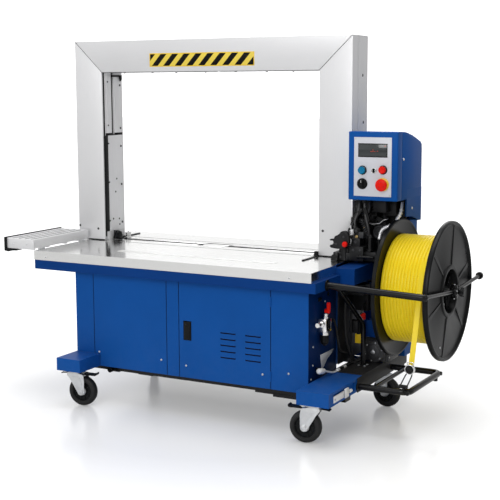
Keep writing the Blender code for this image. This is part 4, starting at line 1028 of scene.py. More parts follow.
    if braked:
        pedal = bmesh.new()
        outline = [(x + 0.037, 0.106), (x + 0.076, 0.1055), (x + 0.08, 0.1085), (x + 0.08, 0.115),
            (x + 0.077, 0.115), (x + 0.0735, 0.1105), (x + 0.06, 0.11), (x + 0.037, 0.111)]
        addPrism(pedal, outline, "Y", y - 0.0125, y + 0.0125, 0.0012)
        for step in range(3):
            addBox(pedal, (x + 0.06 + 0.005 * step, y - 0.01, 0.1096),
                (x + 0.0622 + 0.005 * step, y + 0.01, 0.111), 0.0004)
        swing(pedal, mount, heading)
        newPiece(place + "_brakeLook", pedal, blackPlastic, place + "_pedal", stands=(place + "_brake",))
        pin = bmesh.new()
        addRod(pin, (x + 0.0345, y - 0.0165, 0.1085), (x + 0.0345, y + 0.0165, 0.1085), 0.0024, 0.0005, 16)
        addPrism(pin, [(x - 0.024, 0.1115), (x - 0.048, 0.1095), (x - 0.052, 0.1065), (x - 0.05, 0.105),
            (x - 0.044, 0.1065), (x - 0.024, 0.1085)], "Y", y - 0.011, y + 0.011, 0.001)
        swing(pin, mount, heading)
        newPiece(place + "_brakeSpring", pin, blackPlastic, place + "_caster")


feetLook = {
    "screwRows": (-0.12, 0.06, 0.2),
}


def buildFeet():
    # Casters, then the plate, the clip and the screws on the feet.
    for place in ("front_left", "front_right", "rear_left", "rear_right"):
        buildCaster(place)
    newPiece("footPlate", shaped(addBox, (0.6482, -0.375, 0.133), (0.651, -0.301, 0.153), 0.0008), trackMetal)
    clip = bmesh.new()
    addBox(clip, (0.6482, -0.296, 0.129), (0.654, -0.27, 0.157), 0.0014)
    addRod(clip, (0.652, -0.264, 0.143), (0.652, -0.25, 0.143), 0.0052)
    newPiece("footClip", clip, whitePlastic)
    screws = bmesh.new()
    for y in (-0.368, -0.308):
        addCap(screws, (0.651, y, 0.143), toRight, 0.0032, 0.0018)
    for y in feetLook["screwRows"]:
        addDome(screws, (0.648, y, 0.145), toRight, 0.0042, 0.0026)
        addDome(screws, (-0.34, y, 0.145), toLeft, 0.0042, 0.0026)
    newPiece("footScrews", screws, zincMetal)
    print("feet and casters ready")


# Side leaf.

leafLook = {
    "left": -0.612, "right": -0.4912, "front": -0.322, "rear": -0.01, "low": 0.505, "high": 0.54,
    "first": 0.015, "pitch": 0.0265, "gap": 0.01, "crossBars": (-0.24, -0.14, -0.06),
    "railClips": (-0.262, -0.172, -0.082),
}


def buildLeaf():
    look = leafLook
    left, right, front, rear, low, high = (look[key] for key in ("left", "right", "front", "rear", "low",
        "high"))
    edges = [left]
    for number in range(4):
        start = left + look["first"] + look["pitch"] * number
        edges += [start, start + look["gap"]]
    edges.append(right)
    slats = bmesh.new()
    for start, end in zip(edges[::2], edges[1::2]):
        addBox(slats, (start + 0.0002, front + 0.009, low + 0.004), (end - 0.0002, rear - 0.013, high),
            0.0016)
        if end - start > 0.013:
            middle = (start + end) / 2
            addBox(slats, (middle - 0.0045, front + 0.012, high - 0.0002),
                (middle - 0.0033, rear - 0.02, high + 0.0006))
            addBox(slats, (middle + 0.0033, front + 0.012, high - 0.0002),
                (middle + 0.0045, rear - 0.02, high + 0.0006))
    addBox(slats, (left, front, low), (right, front + 0.01, high), 0.0016)
    addBox(slats, (left, rear - 0.014, low), (right, rear, high), 0.0016)
    for y in look["crossBars"]:
        addBox(slats, (left + 0.002, y - 0.008, low), (right - 0.002, y + 0.008, low + 0.0045), 0.001)
    newPiece("sideLeafLook", slats, beamMetal, "leaf", stands=("side_leaf",))

    black = bmesh.new()
    addBox(black, (left - 0.006, front - 0.0035, low - 0.01), (left - 0.0004, rear, high + 0.0035), 0.0016)
    addBox(black, (left - 0.005, front - 0.0036, low - 0.004), (left + 0.006, front - 0.0004, high + 0.003),
        0.0012)
    addPrism(black, [(left - 0.004, 0.5048), (left + 0.052, 0.5048), (left + 0.046, 0.4985),
        (left + 0.02, 0.4975), (left + 0.012, 0.4935), (left + 0.002, 0.4935)], "Y", front - 0.002,
        front + 0.028, 0.0014)
    for y in look["railClips"]:
        addBox(black, (left - 0.0064, y - 0.02, low + 0.006), (left - 0.0056, y + 0.02, low + 0.012), 0.0003)
    newPiece("leafEndRail", black, blackPlastic, "leaf")
    # A black pan under the slats paints the shade seen between them.
    newPiece("leafShadePan", shaped(addBox, (left + 0.004, front + 0.008, low + 0.0046),
        (right - 0.004, rear - 0.012, high - 0.0012), 0.0004), blackAndPaintedShade, "leaf")
    hook = bmesh.new()
    addRod(hook, (left + 0.008, front + 0.01, 0.4938), (left + 0.008, front + 0.01, 0.499), 0.0042)
    for x in (left + 0.03, left + 0.09):
        addDome(hook, (x, front, 0.5225), toFront, 0.0034, 0.002)
    for y in (-0.28, -0.052):
        addRod(hook, (right - 0.0006, y - 0.016, 0.506), (right - 0.0006, y + 0.016, 0.506), 0.003, 0.0006,
            16)
    newPiece("leafScrews", hook, zincMetal, "leaf")
    print("side leaf ready")


buildTable()
buildCabinet()
buildFeet()
buildLeaf()

# Control box.

boxLook = {
    "left": 0.55, "right": 0.714, "front": -0.05, "rear": 0.17, "low": 0.7, "high": 0.914, "door": 0.04,
    "panel": -0.0519, "startAt": (0.5985, 0.7945), "resetAt": (0.667, 0.797),
    "selectorAt": (0.5985, -0.0522, 0.752), "keyAt": (0.637, -0.0522, 0.794),
    "stopAt": (0.6655, 0.7505), "stopCollarAt": (0.6665, 0.7515),
    "slope": ((0.168, 0.868), (0.158, 0.8765), (0.119, 0.889), (0.081, 0.9), (0.036, 0.9095),
        (0.012, 0.9125)),
    "carrier": ((0.034, 0.645), (0.085, 0.641), (0.12, 0.632), (0.15, 0.6225), (0.17, 0.6215)),
    "glow": ((0.627, 0.853), (0.633, 0.853), (0.639, 0.853), (0.633, 0.8575), (0.648, 0.8545)),
    "sideScrews": ((0.002, 0.828), (0.084, 0.668)),
    "collars": ((0.5985, 0.7945, 0.0118, 0.0142), (0.667, 0.797, 0.0118, 0.0142),
        (0.5985, 0.752, 0.012, 0.0172)),
    "glands": ((0.57, 0.0), (0.592, -0.014), (0.592, 0.03), (0.566, 0.06), (0.69, 0.06), (0.69, 0.1)),
}


def buildControlBox():
    look = boxLook
    left, right, front, rear, low, high = (look[key] for key in ("left", "right", "front", "rear", "low",
        "high"))
    body = bmesh.new()
    seam = front + look["door"]
    addPrism(body, [(seam + 0.0012, low), (rear, low), (rear, 0.85), *look["slope"],
        (seam + 0.0012, high - 0.0008)], "X", left, right - 0.0003, 0.0022)
    addBox(body, (left, front, low), (right, seam, high), 0.003, 3)
    addPrism(body, [*look["carrier"], (rear, low + 0.03), (look["carrier"][0][0], low + 0.03)], "X",
        right - 0.004, right - 0.0002)
    newPiece("controlBoxLook", body, bluePaint, stands=("control_box",))
    newPiece("controlBoxGasket", shaped(addBox, (left + 0.0016, seam - 0.001, low + 0.0016),
        (right - 0.003, seam + 0.003, high - 0.0026)), blackAndPaintedShade)

    newPiece("panelLook", shaped(addBox, (0.5695, -0.0519, 0.713), (0.6945, -0.0502, 0.897), 0.0008),
        foilGrey, stands=("panel_plate",))
    newPiece("displayBezel", shaped(addBox, (0.5835, -0.0522, 0.835), (0.681, -0.0518, 0.878), 0.0002),
        blackPlastic)
    newPiece("displayGlass", shaped(addBox, (0.5865, -0.0526, 0.838), (0.678, -0.052, 0.875), 0.0003),
        darkGlass)
    glow = bmesh.new()
    for x, z in look["glow"]:
        addBox(glow, (x - 0.0022, -0.0528, z - 0.0008), (x + 0.0022, -0.0525, z + 0.0008))
    addBox(glow, (0.67, -0.0528, 0.87), (0.676, -0.0525, 0.8716))
    newPiece("displayMarks", glow, lampRed)

    screws = bmesh.new()
    for x in (0.5745, 0.6895):
        for z in (0.718, 0.892):
            addDome(screws, (x, look["panel"], z), toFront, 0.0022, 0.0012)
    for y, z in look["sideScrews"]:
        addDome(screws, (right - 0.0002, y, z), toRight, 0.0042, 0.0024)
    for x in (left + 0.014, right - 0.014):
        for z in (low + 0.016, 0.828):
            addDome(screws, (x, rear, z), toRear, 0.004, 0.0024)
    newPiece("controlBoxScrews", screws, zincMetal)

    # Device collars on the panel.
    collars = bmesh.new()
    for x, z, inner, outer in look["collars"]:
        addTurned(collars, [(inner, 0), (inner, 0.003), (outer - 0.0006, 0.003), (outer, 0.0018), (outer, 0)],
                  (x, look["panel"], z), toFront, 40, True)
    newPiece("deviceCollars", collars, blackPlastic)
    newPiece("stopCollar", shaped(addTurned, [(0.012, 0), (0.012, 0.0034), (0.018, 0.0034),
        (0.0202, 0.0022), (0.0208, 0)], (look["stopCollarAt"][0], look["panel"], look["stopCollarAt"][1]),
        toFront, 48, True), yellowPlastic)

    def cap(name, body, centre, gap, profile, material, stands):
        newPiece(name, shaped(addTurned, profile, (centre[0], look["panel"] - gap, centre[1]), toFront, 48),
            material, body, stands)

    button = [(0, -0.01), (0.007, -0.01), (0.007, 0), (0.0113, 0), (0.0115, 0.001), (0.0115, 0.007),
        (0.0105, 0.0085), (0.008, 0.0088), (0.006, 0.008), (0, 0.0074)]
    cap("startLook", "start", look["startAt"], 0.0038, button, bluePlastic, ("start_button",))
    cap("resetLook", "reset", look["resetAt"], 0.0038, button, redPlastic, ("reset_button",))
    mushroom = [(0, -0.012), (0.0095, -0.012), (0.0095, 0.0037), (0.0165, 0.004), (0.019, 0.005),
        (0.0195, 0.0064), (0.0186, 0.0086), (0.016, 0.0104), (0.012, 0.0114), (0.006, 0.0118), (0, 0.0119)]
    cap("stopLook", "estop", look["stopAt"], 0.0053, mushroom, redPlastic, ("estop_button",))
    # The grip ridges on the stop button are a darker red, a painted shade.
    grips = bmesh.new()
    for angle in around(3, pi / 2):
        x, z = look["stopAt"][0] + 0.0095 * cos(angle), look["stopAt"][1] + 0.0095 * sin(angle)
        addRod(grips, (x, -0.0684, z), (x + 0.0045 * cos(angle + 1.2), -0.0686,
            z + 0.0045 * sin(angle + 1.2)), 0.0011, 0.0004, 10)
    newPiece("stopArrows", grips, redPaintedShade, "estop")

    knob = bmesh.new()
    addTurned(knob, [(0, -0.012), (0.0085, -0.012), (0.0085, 0), (0.0146, 0.0004), (0.015, 0.003),
        (0.0135, 0.005), (0, 0.0052)], look["selectorAt"], toFront, 48)
    addPrism(knob, [(0.5935, 0.739), (0.6035, 0.739), (0.603, 0.7645), (0.5985, 0.766), (0.594, 0.7645)],
        "Y", -0.064, -0.056, 0.0016)
    newPiece("selectorLook", knob, blackPlastic, "selector", stands=("selector_knob",))
    newPiece("selectorMark", shaped(addBox, (0.5978, -0.0643, 0.756), (0.5992, -0.0637, 0.764)),
        whitePlastic, "selector")

    newPiece("keyLook", shaped(addTurned, [(0, -0.012), (0.007, -0.012), (0.007, 0), (0.0094, 0),
        (0.0095, 0.002), (0.0086, 0.0034), (0.0066, 0.0036), (0.0062, 0.003), (0, 0.003)],
        look["keyAt"], toFront, 40), brightMetal, "key", stands=("key_switch",))
    slit = bmesh.new()
    addBox(slit, (0.6345, -0.0578, 0.787), (0.6395, -0.055, 0.801), 0.0003)
    addTurned(slit, [(0.0052, 0), (0.0052, 0.0004), (0.0062, 0.0004), (0.0062, 0)], (0.637, -0.0551, 0.794),
        toFront, 32, True)
    newPiece("keySlit", slit, blackAndPaintedShade, "key")

    # Glands under the box and the rear service cover.
    glands = bmesh.new()
    for x, y in look["glands"]:
        addRings(glands, (x, y, low), downward, [(-0.0088, 0), (-0.0088, 0.005), (0.0075, 0.0056),
            (0.0066, 0.011), (0.005, 0.0128)])
    newPiece("boxGlands", glands, blackPlastic)
    newPiece("boxRearCover", shaped(addBox, (left + 0.02, rear - 0.0004, low + 0.024),
        (right - 0.02, rear + 0.0012, 0.82), 0.0008), bluePaint)
    print("control box ready")


# Reel.

reelLook = {
    "x": 0.684, "y": 0.045, "z": 0.4165, "rim": 0.221, "core": 0.098, "coil": 0.1722, "bands": 15,
    "first": 0.0068, "last": 0.1648,
    "bandShape": ((0.02, 0.0022), (0.1, 0.0006), (0.3, 0.0001), (0.5, 0.0), (0.7, 0.0001), (0.9, 0.0006),
        (0.98, 0.0022)),
}


def buildReel():
    look = reelLook
    centre = (look["x"], look["y"], look["z"])
    axis = toRight
    rim = look["rim"]

    newPiece("innerFlangeLook", shaped(addTurned, [(0.0105, 0.146), (0.018, 0.146), (0.018, 0.01),
        (0.093, 0.01), (0.095, 0.013), (0.095, 0.164), (0.098, 0.165), (0.098, 0.006), (rim - 0.011, 0.006),
        (rim - 0.008, 0.0078), (rim - 0.006, 0.0096), (rim - 0.002, 0.0096), (rim, 0.008), (rim, -0.0022),
        (rim - 0.002, -0.0038), (rim - 0.006, -0.0038), (rim - 0.009, -0.001), (0.06, 0.0), (0.0105, 0.0)],
        centre, axis, 96, True), blackPlastic, "reel", stands=("reel_inner_flange",))

    newPiece("outerFlangeLook", shaped(addTurned, [(0.0105, 0.1512), (0.03, 0.1512), (0.06, 0.152),
        (0.065, 0.156), (0.068, 0.17), (0.07, 0.1764), (0.073, 0.1774), (0.079, 0.1774), (0.082, 0.1764),
        (0.0835, 0.1725), (0.088, 0.1708), (rim - 0.015, 0.1702), (rim - 0.0125, 0.1722),
        (rim - 0.0105, 0.1756), (rim - 0.0075, 0.1776), (rim - 0.004, 0.1776), (rim - 0.0014, 0.1758),
        (rim, 0.1725), (rim, 0.164), (rim - 0.0014, 0.1612), (rim - 0.0045, 0.1598), (rim - 0.008, 0.1612),
        (rim - 0.01, 0.1656), (0.094, 0.1656), (0.0905, 0.147), (0.0105, 0.147)], centre, axis, 96, True),
        blackPlastic, "reel", stands=("reel_outer_flange",))

    # Ribs that widen outwards stand on both outer faces, and thin ones in the hub dish.
    ribs = bmesh.new()
    place = aimed(centre, axis)

    def wedge(angle, near, far, narrow, wide, base, nearTop, farTop):
        loops = []
        for share in (0, 1):
            radius = near + (far - near) * share
            half = narrow + (wide - narrow) * share
            top = nearTop + (farTop - nearTop) * share
            loop = [(radius, -half, base), (radius, -half * 0.7, top), (radius, half * 0.7, top),
                (radius, half, base)]
            loops.append([place @ Matrix.Rotation(angle, 4, "Z") @ Vector(point) for point in loop])
        loft(ribs, loops)

    for angle in around(6, 0.3):
        wedge(angle, 0.084, rim - 0.012, 0.003, 0.011, 0.169, 0.174, 0.1718)
        wedge(angle, 0.03, rim - 0.01, 0.0045, 0.012, 0.0012, -0.0016, -0.0012)
        wedge(angle + 0.5, 0.02, 0.0655, 0.0014, 0.0014, 0.15, 0.16, 0.16)
    newPiece("flangeRibs", ribs, blackPlastic, "reel")
    screws = bmesh.new()
    for angle in around(3, 0.55):
        addBolt(screws, (look["x"] + 0.1516, look["y"] + 0.046 * cos(angle),
            look["z"] + 0.046 * sin(angle)), axis, 0.0052, 0.0042)
    dot = (look["x"] + 0.1706, look["y"] - 0.076, look["z"] - 0.166)
    addDome(screws, dot, axis, 0.0038, 0.0016)
    newPiece("flangeBolts", screws, zincMetal, "reel")

    # The strap lies in level bands, each slightly crowned and none quite the same height.
    coil = bmesh.new()
    width = (look["last"] - look["first"]) / look["bands"]
    profile = [(look["core"] + 0.0006, look["first"])]
    for band in range(look["bands"]):
        start = look["first"] + band * width
        top = look["coil"] - random.uniform(0.0, 0.0011)
        for share, drop in look["bandShape"]:
            profile.append((top - drop, start + share * width))
    profile.append((look["core"] + 0.0006, look["last"]))
    addTurned(coil, profile, centre, axis, 128, True)
    newPiece("strapCoilLook", coil, strapYellow, "reel", stands=("strap_coil",), crease=60)

    newPiece("reelShaftLook", shaped(addTurned, [(0, -0.23), (0.0082, -0.23), (0.009, -0.229),
        (0.009, -0.017), (0.0165, -0.0165), (0.017, -0.016), (0.017, -0.0055), (0.0165, -0.0045),
        (0.009, -0.0045), (0.009, 0.174), (0.008, 0.1752), (0, 0.1752)], centre, axis, 32), zincMetal,
        stands=("reel_shaft",))

    clamp = bmesh.new()
    x, y, z = look["x"] + 0.1762, look["y"], look["z"]
    addRings(clamp, (x, y, z), axis, [(0.0155, 0), (0.017, 0.0015), (0.017, 0.0105), (0.015, 0.012)], 32)
    addBox(clamp, (x + 0.002, y - 0.006, z - 0.0215), (x + 0.022, y + 0.006, z + 0.0215), 0.0018)
    addBox(clamp, (x + 0.004, y - 0.02, z - 0.01), (x + 0.025, y - 0.008, z + 0.01), 0.0018)
    addBox(clamp, (x + 0.004, y + 0.008, z - 0.01), (x + 0.025, y + 0.02, z + 0.01), 0.0018)
    newPiece("shaftClampLook", clamp, blackPaint)
    clampBolts = bmesh.new()
    for side in (-1, 1):
        addCap(clampBolts, (x + 0.025, y + side * 0.014, z + 0.0045), axis, 0.0034, 0.0022)
        addCap(clampBolts, (x + 0.012, y, z + side * 0.0215), (0, 0, side), 0.0034, 0.0024)
    newPiece("shaftClampBolts", clampBolts, zincMetal)

    knob = bmesh.new()
    knobX = 0.8873
    addTurned(knob, [(0, 0), (0.0075, 0), (0.0085, 0.002), (0.009, 0.005), (0.01, 0.006), (0.01, 0.015),
        (0.0085, 0.0176), (0, 0.0178)], (knobX, y, z), axis, 32)
    for angle in around(5):
        addRings(knob, (knobX + 0.0048, y + 0.01 * cos(angle), z + 0.01 * sin(angle)), axis,
                 [(0.0046, 0), (0.0054, 0.001), (0.0054, 0.01), (0.0044, 0.0116)], 16)
    newPiece("clampKnobLook", knob, blackPlastic, "clamp_knob", stands=("reel_clamp_knob",))
    print("reel ready")


# Free strap and guide.

tailLook = {
    "x": 0.8205, "half": 0.00775, "thick": 0.0007, "wrap": 0.174, "eye": (-0.203, 0.2165), "radius": 0.0155,
    "pivot": (0.796, -0.19, 0.1575),
}


def buildTail():
    look = tailLook
    centreY, centreZ = reelLook["y"], reelLook["z"]
    eyeY, eyeZ = look["eye"]
    x = look["x"]
    # The strap leaves the coil at the tangent, bows a little and goes down behind the guide eye.
    end = Vector((eyeY + 0.0066, eyeZ - 0.006))
    away = end - Vector((centreY, centreZ))
    touch = atan2(away.y, away.x) - acos(min(1.0, look["wrap"] / away.length))
    route = []
    for step in range(6):
        angle = touch - 0.42 * (1 - step / 5)
        route.append((centreY + look["wrap"] * cos(angle), centreZ + look["wrap"] * sin(angle)))
    start = Vector(route[-1])
    run = end - start
    for step in range(1, 25):
        t = step / 24
        point = start + run * t + Vector((-run.y, run.x)).normalized() * 0.0025 * sin(pi * t)
        route.append((point.x, point.y))
    loops = []
    for index, (y, z) in enumerate(route):
        before, after = route[max(index - 1, 0)], route[min(index + 1, len(route) - 1)]
        ahead = Vector((after[0] - before[0], after[1] - before[1])).normalized()
        side = Vector((-ahead.y, ahead.x)) * look["thick"]
        twist = 0.0035 * max(0, index - 6) / len(route)
        loops.append([at(x + a, y + b * side.x + a / look["half"] * twist, z + b * side.y) for a, b in
                      ((-look["half"], -1), (look["half"], -1), (look["half"], 1), (-look["half"], 1))])
    newPiece("strapTailLook", shaped(loft, loops), strapYellow, stands=("strap_tail",))

    radius = look["radius"]
    clip = bmesh.new()
    addTurned(clip, [(radius - 0.0026, -0.0046), (radius - 0.0022, -0.0052), (radius - 0.0006, -0.0052),
        (radius, -0.0044), (radius, 0.0044), (radius - 0.001, 0.0048), (radius - 0.0026, 0.0044)],
        (x, eyeY, eyeZ), toRear, 48, True)
    addTube(clip, [(x - 0.0095, eyeY + 0.002, eyeZ + 0.012), (x - 0.0095, eyeY + 0.004, eyeZ + 0.0205),
        (x + 0.0095, eyeY + 0.004, eyeZ + 0.0205), (x + 0.0095, eyeY + 0.002, eyeZ + 0.012)], 0.0013, 0.003)
    newPiece("strapClip", clip, brightMetal, "guide")

    arm = bmesh.new()
    addTurned(arm, [(0, -0.003), (0.0034, -0.003), (0.004, -0.0044), (0.0078, -0.005), (0.0092, -0.004),
        (0.01, -0.0026), (radius - 0.0025, -0.0022), (radius - 0.0025, 0.0036), (0, 0.0036)],
        (x, eyeY, eyeZ), toRear, 48)
    pivotX, pivotY, pivotZ = look["pivot"]
    addRod(arm, (pivotX - 0.0135, pivotY, pivotZ), (pivotX + 0.0135, pivotY, pivotZ), 0.0058)
    for side in (-1, 1):
        addTube(arm, [(pivotX + side * 0.011, pivotY, pivotZ),
            (x + side * 0.01 - 0.004, eyeY + 0.001, eyeZ - 0.02), (x + side * 0.007, eyeY, eyeZ - 0.01)],
            0.0019, 0.012)
    newPiece("guideArmLook", arm, blackPaint, "guide", stands=("guide_arm",))
    print("strap guide ready")


# Tube frames.

def addWeld(mesh, place, axis, radius, bead=0.0016):
    # A weld bead round a tube end.
    addTurned(mesh, [(radius, -bead), (radius + bead, -bead * 0.6), (radius + bead * 1.2, 0),
        (radius + bead, bead * 0.6), (radius, bead)], place, axis, 28, True)


frameLook = {
    "braceWelds": ((-0.188, -1), (0.083, 1)),
    "upperTubes": (([(0.872, -0.236, 0.4433), (0.872, 0.045, 0.4165)], 0.0063, 0.03),
        ([(0.872, 0.045, 0.4165), (0.872, 0.312, 0.427)], 0.0063, 0.01)),
    "upperWelds": (((0.5665, -0.239, 0.4559), toRight, 0.0104),
        ((0.6, -0.237, 0.4505), (0.03, 0.74, -0.55), 0.0078)),
    "lowerTubes": (([(0.6487, -0.19, 0.14), (0.812, -0.19, 0.14), (0.818, 0.085, 0.14),
        (0.6487, 0.085, 0.14)], 0.0098, 0.026, 24), ([(0.7, -0.188, 0.14), (0.7, 0.083, 0.14)], 0.0068,
        0.01, 20)),
    "lowerRings": (((0.812, -0.2, 0.14), toFront, [(0.0068, -0.004), (0.0068, 0), (0.006, 0.0008)]),
        ((0.827, 0.078, 0.14), (1, 0.05, 0), [(0.0068, -0.006), (0.006, 0.0004)])),
}


def buildFrames():
    upper = bmesh.new()
    addTube(upper, [(0.5645, -0.239, 0.456), (0.868, -0.239, 0.4437), (0.878, -0.232, 0.443)], 0.0104, 0.01,
        24)
    addDome(upper, (0.8745, -0.2345, 0.4432), (0.83, 0.55, 0), 0.011, 0.007)
    for tube in frameLook["upperTubes"]:
        addTube(upper, *tube, 20)
    addRings(upper, (0.872, -0.222, 0.442), (0, 1, -0.096), [(0.0064, -0.002), (0.0082, 0), (0.0082, 0.01),
        (0.0064, 0.012)], 24)
    addTube(upper, [(0.6, -0.239, 0.4525), (0.606, -0.056, 0.31), (0.606, -0.048, 0.29),
        (0.606, -0.048, 0.1668)], 0.0078, 0.03, 20)
    addTurned(upper, [(0, 0), (0.0112, 0), (0.0124, 0.0012), (0.0124, 0.0105), (0.0112, 0.0118),
        (0, 0.0122)], (0.872, 0.306, 0.4268), toRear, 32)
    for weld in frameLook["upperWelds"]:
        addWeld(upper, *weld)
    addRings(upper, (0.5643, -0.239, 0.456), toRight, [(0.0165, 0), (0.017, 0.0006), (0.017, 0.003),
        (0.016, 0.0036)], 32)
    addBox(upper, (0.59, -0.064, 0.1666), (0.622, -0.032, 0.1706), 0.0012)
    newPiece("upperFrameLook", upper, blackPaint, stands=("upper_reel_frame",))

    lower = bmesh.new()
    for tube in frameLook["lowerTubes"]:
        addTube(lower, *tube)
    for y, end in frameLook["braceWelds"]:
        addWeld(lower, (0.7, y - end * 0.007, 0.14), (0, end, 0), 0.0068)
    for y in (-0.19, 0.085):
        addWeld(lower, (0.6505, y, 0.14), toRight, 0.0098)
        addRings(lower, (0.6485, y, 0.14), toRight, [(0.015, 0), (0.015, 0.0024)], 32)
    addRod(lower, (0.812, 0.06, 0.118), (0.812, 0.06, 0.138), 0.007, 0.001)
    addBox(lower, (0.796, -0.2005, 0.14), (0.8005, -0.184, 0.158), 0.0008)
    for ring in frameLook["lowerRings"]:
        addRings(lower, *ring, 24)
    newPiece("lowerGuardLook", lower, blackPaint, stands=("lower_guard_frame",))
    bolts = bmesh.new()
    for y in (-0.0585, -0.0375):
        addBolt(bolts, (0.596, y, 0.1706), upward, 0.0032, 0.0026)
        addBolt(bolts, (0.616, y, 0.1706), upward, 0.0032, 0.0026)
    newPiece("strutBolts", bolts, zincMetal)
    print("tube frames ready")


buildControlBox()
buildReel()
buildTail()
buildFrames()

# Feeder head between the table and the control box.

feederLook = {
    "castings": (((0.547, 0.012, 0.4945), (0.558, 0.12, 0.69)),
        ((0.556, 0.02, 0.4945), (0.606, 0.11, 0.56)), ((0.556, -0.052, 0.5055), (0.604, 0.022, 0.552)),
        ((0.5, -0.052, 0.5048), (0.558, -0.004, 0.53)), ((0.518, -0.046, 0.528), (0.556, -0.01, 0.548)),
        ((0.556, 0.07, 0.558), (0.6, 0.108, 0.66)), ((0.59, 0.072, 0.562), (0.64, 0.1, 0.618)),
        ((0.56, -0.046, 0.55), (0.59, -0.012, 0.578)), ((0.562, 0.004, 0.56), (0.596, 0.03, 0.604)),
        ((0.6, -0.04, 0.506), (0.642, 0.01, 0.536)), ((0.608, 0.052, 0.5), (0.65, 0.108, 0.548)),
        ((0.56, 0.032, 0.628), (0.602, 0.07, 0.646)), ((0.5285, -0.055, 0.5048), (0.545, -0.04, 0.572)),
        ((0.548, 0.108, 0.545), (0.572, 0.116, 0.698)), ((0.586, 0.118, 0.5), (0.676, 0.133, 0.698)),
        ((0.57, 0.11, 0.5), (0.62, 0.118, 0.64)), ((0.63, 0.06, 0.64), (0.67, 0.12, 0.69)),
        ((0.606, 0.02, 0.655), (0.65, 0.09, 0.698))),
    "hoses": ((((0.57, 0.0, 0.69), (0.571, -0.012, 0.66), (0.56, -0.024, 0.625), (0.574, -0.03, 0.578)),
        0.0046), (((0.592, -0.014, 0.69), (0.596, -0.022, 0.655), (0.612, -0.03, 0.61),
        (0.616, -0.02, 0.536)), 0.004), (((0.592, 0.03, 0.69), (0.594, 0.022, 0.664), (0.584, 0.01, 0.635),
        (0.582, 0.018, 0.602)), 0.0052), (((0.566, 0.06, 0.69), (0.568, 0.056, 0.672),
        (0.574, 0.048, 0.656), (0.576, 0.046, 0.644)), 0.004),
        (((0.69, 0.1, 0.69), (0.69, 0.104, 0.65), (0.664, 0.11, 0.59), (0.64, 0.1, 0.545)), 0.0048)),
    "strips": (((0.54, -0.004, 0.55), (0.55, -0.0012, 0.612)),
        ((0.566, -0.01, 0.574), (0.577, -0.0072, 0.606)), ((0.54, -0.003, 0.64), (0.545, -0.0012, 0.696))),
    "bolts": ((0.57, -0.052, 0.54, toFront), (0.594, -0.052, 0.54, toFront),
        (0.526, -0.052, 0.516, toFront), (0.574, -0.046, 0.566, toFront), (0.552, 0.012, 0.67, toFront),
        (0.552, 0.012, 0.585, toFront), (0.569, 0.004, 0.59, toFront), (0.589, 0.004, 0.574, toFront),
        (0.63, 0.06, 0.548, upward), (0.612, -0.01, 0.536, upward), (0.606, -0.01, 0.536, upward),
        (0.64, 0.086, 0.604, toRight), (0.64, 0.086, 0.576, toRight), (0.6, 0.09, 0.64, toRight),
        (0.606, 0.07, 0.53, toRight), (0.604, -0.02, 0.54, toRight), (0.556, -0.034, 0.62, toFront),
        (0.574, -0.04, 0.6, toFront), (0.608, 0.12, 0.6, toRear), (0.5525, 0.12, 0.56, toRear),
        (0.5525, 0.12, 0.65, toRear)),
    "studs": ((0.532, -0.028), (0.622, -0.036)),
    "unions": (((0.574, -0.03, 0.578), upward), ((0.616, -0.02, 0.536), upward),
        ((0.582, 0.018, 0.604), upward)),
    "castPrisms": (([(0.546, 0.66), (0.56, 0.69), (0.612, 0.69), (0.612, 0.684), (0.564, 0.65),
        (0.56, 0.62)], "Y", 0.04, 0.048, 0.0016), ([(0.604, 0.548), (0.636, 0.552), (0.648, 0.59),
        (0.636, 0.628), (0.61, 0.64), (0.604, 0.63), (0.618, 0.618), (0.628, 0.59), (0.618, 0.566),
        (0.604, 0.562)], "Y", 0.05, 0.056, 0.0014)),
    "armPrisms": (([(0.548, 0.6), (0.56, 0.604), (0.566, 0.636), (0.586, 0.664), (0.58, 0.672),
        (0.556, 0.646), (0.546, 0.62)], "Y", -0.018, -0.011, 0.0014),
        ([(0.596, 0.6), (0.606, 0.598), (0.612, 0.64), (0.6, 0.676), (0.59, 0.672), (0.6, 0.64)], "Y",
        -0.026, -0.018, 0.0014), ([(0.498, 0.5048), (0.52, 0.5048), (0.524, 0.524), (0.512, 0.53),
        (0.5, 0.52)], "Y", -0.066, -0.052, 0.0018)),
    "boltSprings": (((0.548, -0.038, 0.552), (0.548, -0.038, 0.598), 0.0058, 0.0009, 8),
        ((0.608, -0.03, 0.586), (0.586, -0.03, 0.64), 0.005, 0.0009, 9)),
    "coilBoxes": (((0.644, 0.02, 0.548), (0.66, 0.048, 0.566)),
        ((0.585, -0.048, 0.579), (0.602, -0.03, 0.598))),
}


leverLook = {
    "pivot": (0.5515, -0.062, 0.5605),
    "outline": ((0.5449, 0.6016), (0.552, 0.5998), (0.5564, 0.5948), (0.5614, 0.5819), (0.5624, 0.566),
        (0.5596, 0.5566), (0.5412, 0.5461), (0.5225, 0.5427), (0.5, 0.545), (0.495, 0.5484),
        (0.4956, 0.5538), (0.504, 0.556), (0.5079, 0.5613), (0.5064, 0.5679), (0.4949, 0.5685),
        (0.4954, 0.5731), (0.5093, 0.5747), (0.5121, 0.5829), (0.5221, 0.5875), (0.5279, 0.5918),
        (0.5335, 0.5988)),
    "boss": ((0.5449, 0.5975), (0.553, 0.593), (0.5565, 0.581), (0.553, 0.57), (0.54, 0.569), (0.533, 0.58),
        (0.537, 0.593)),
}


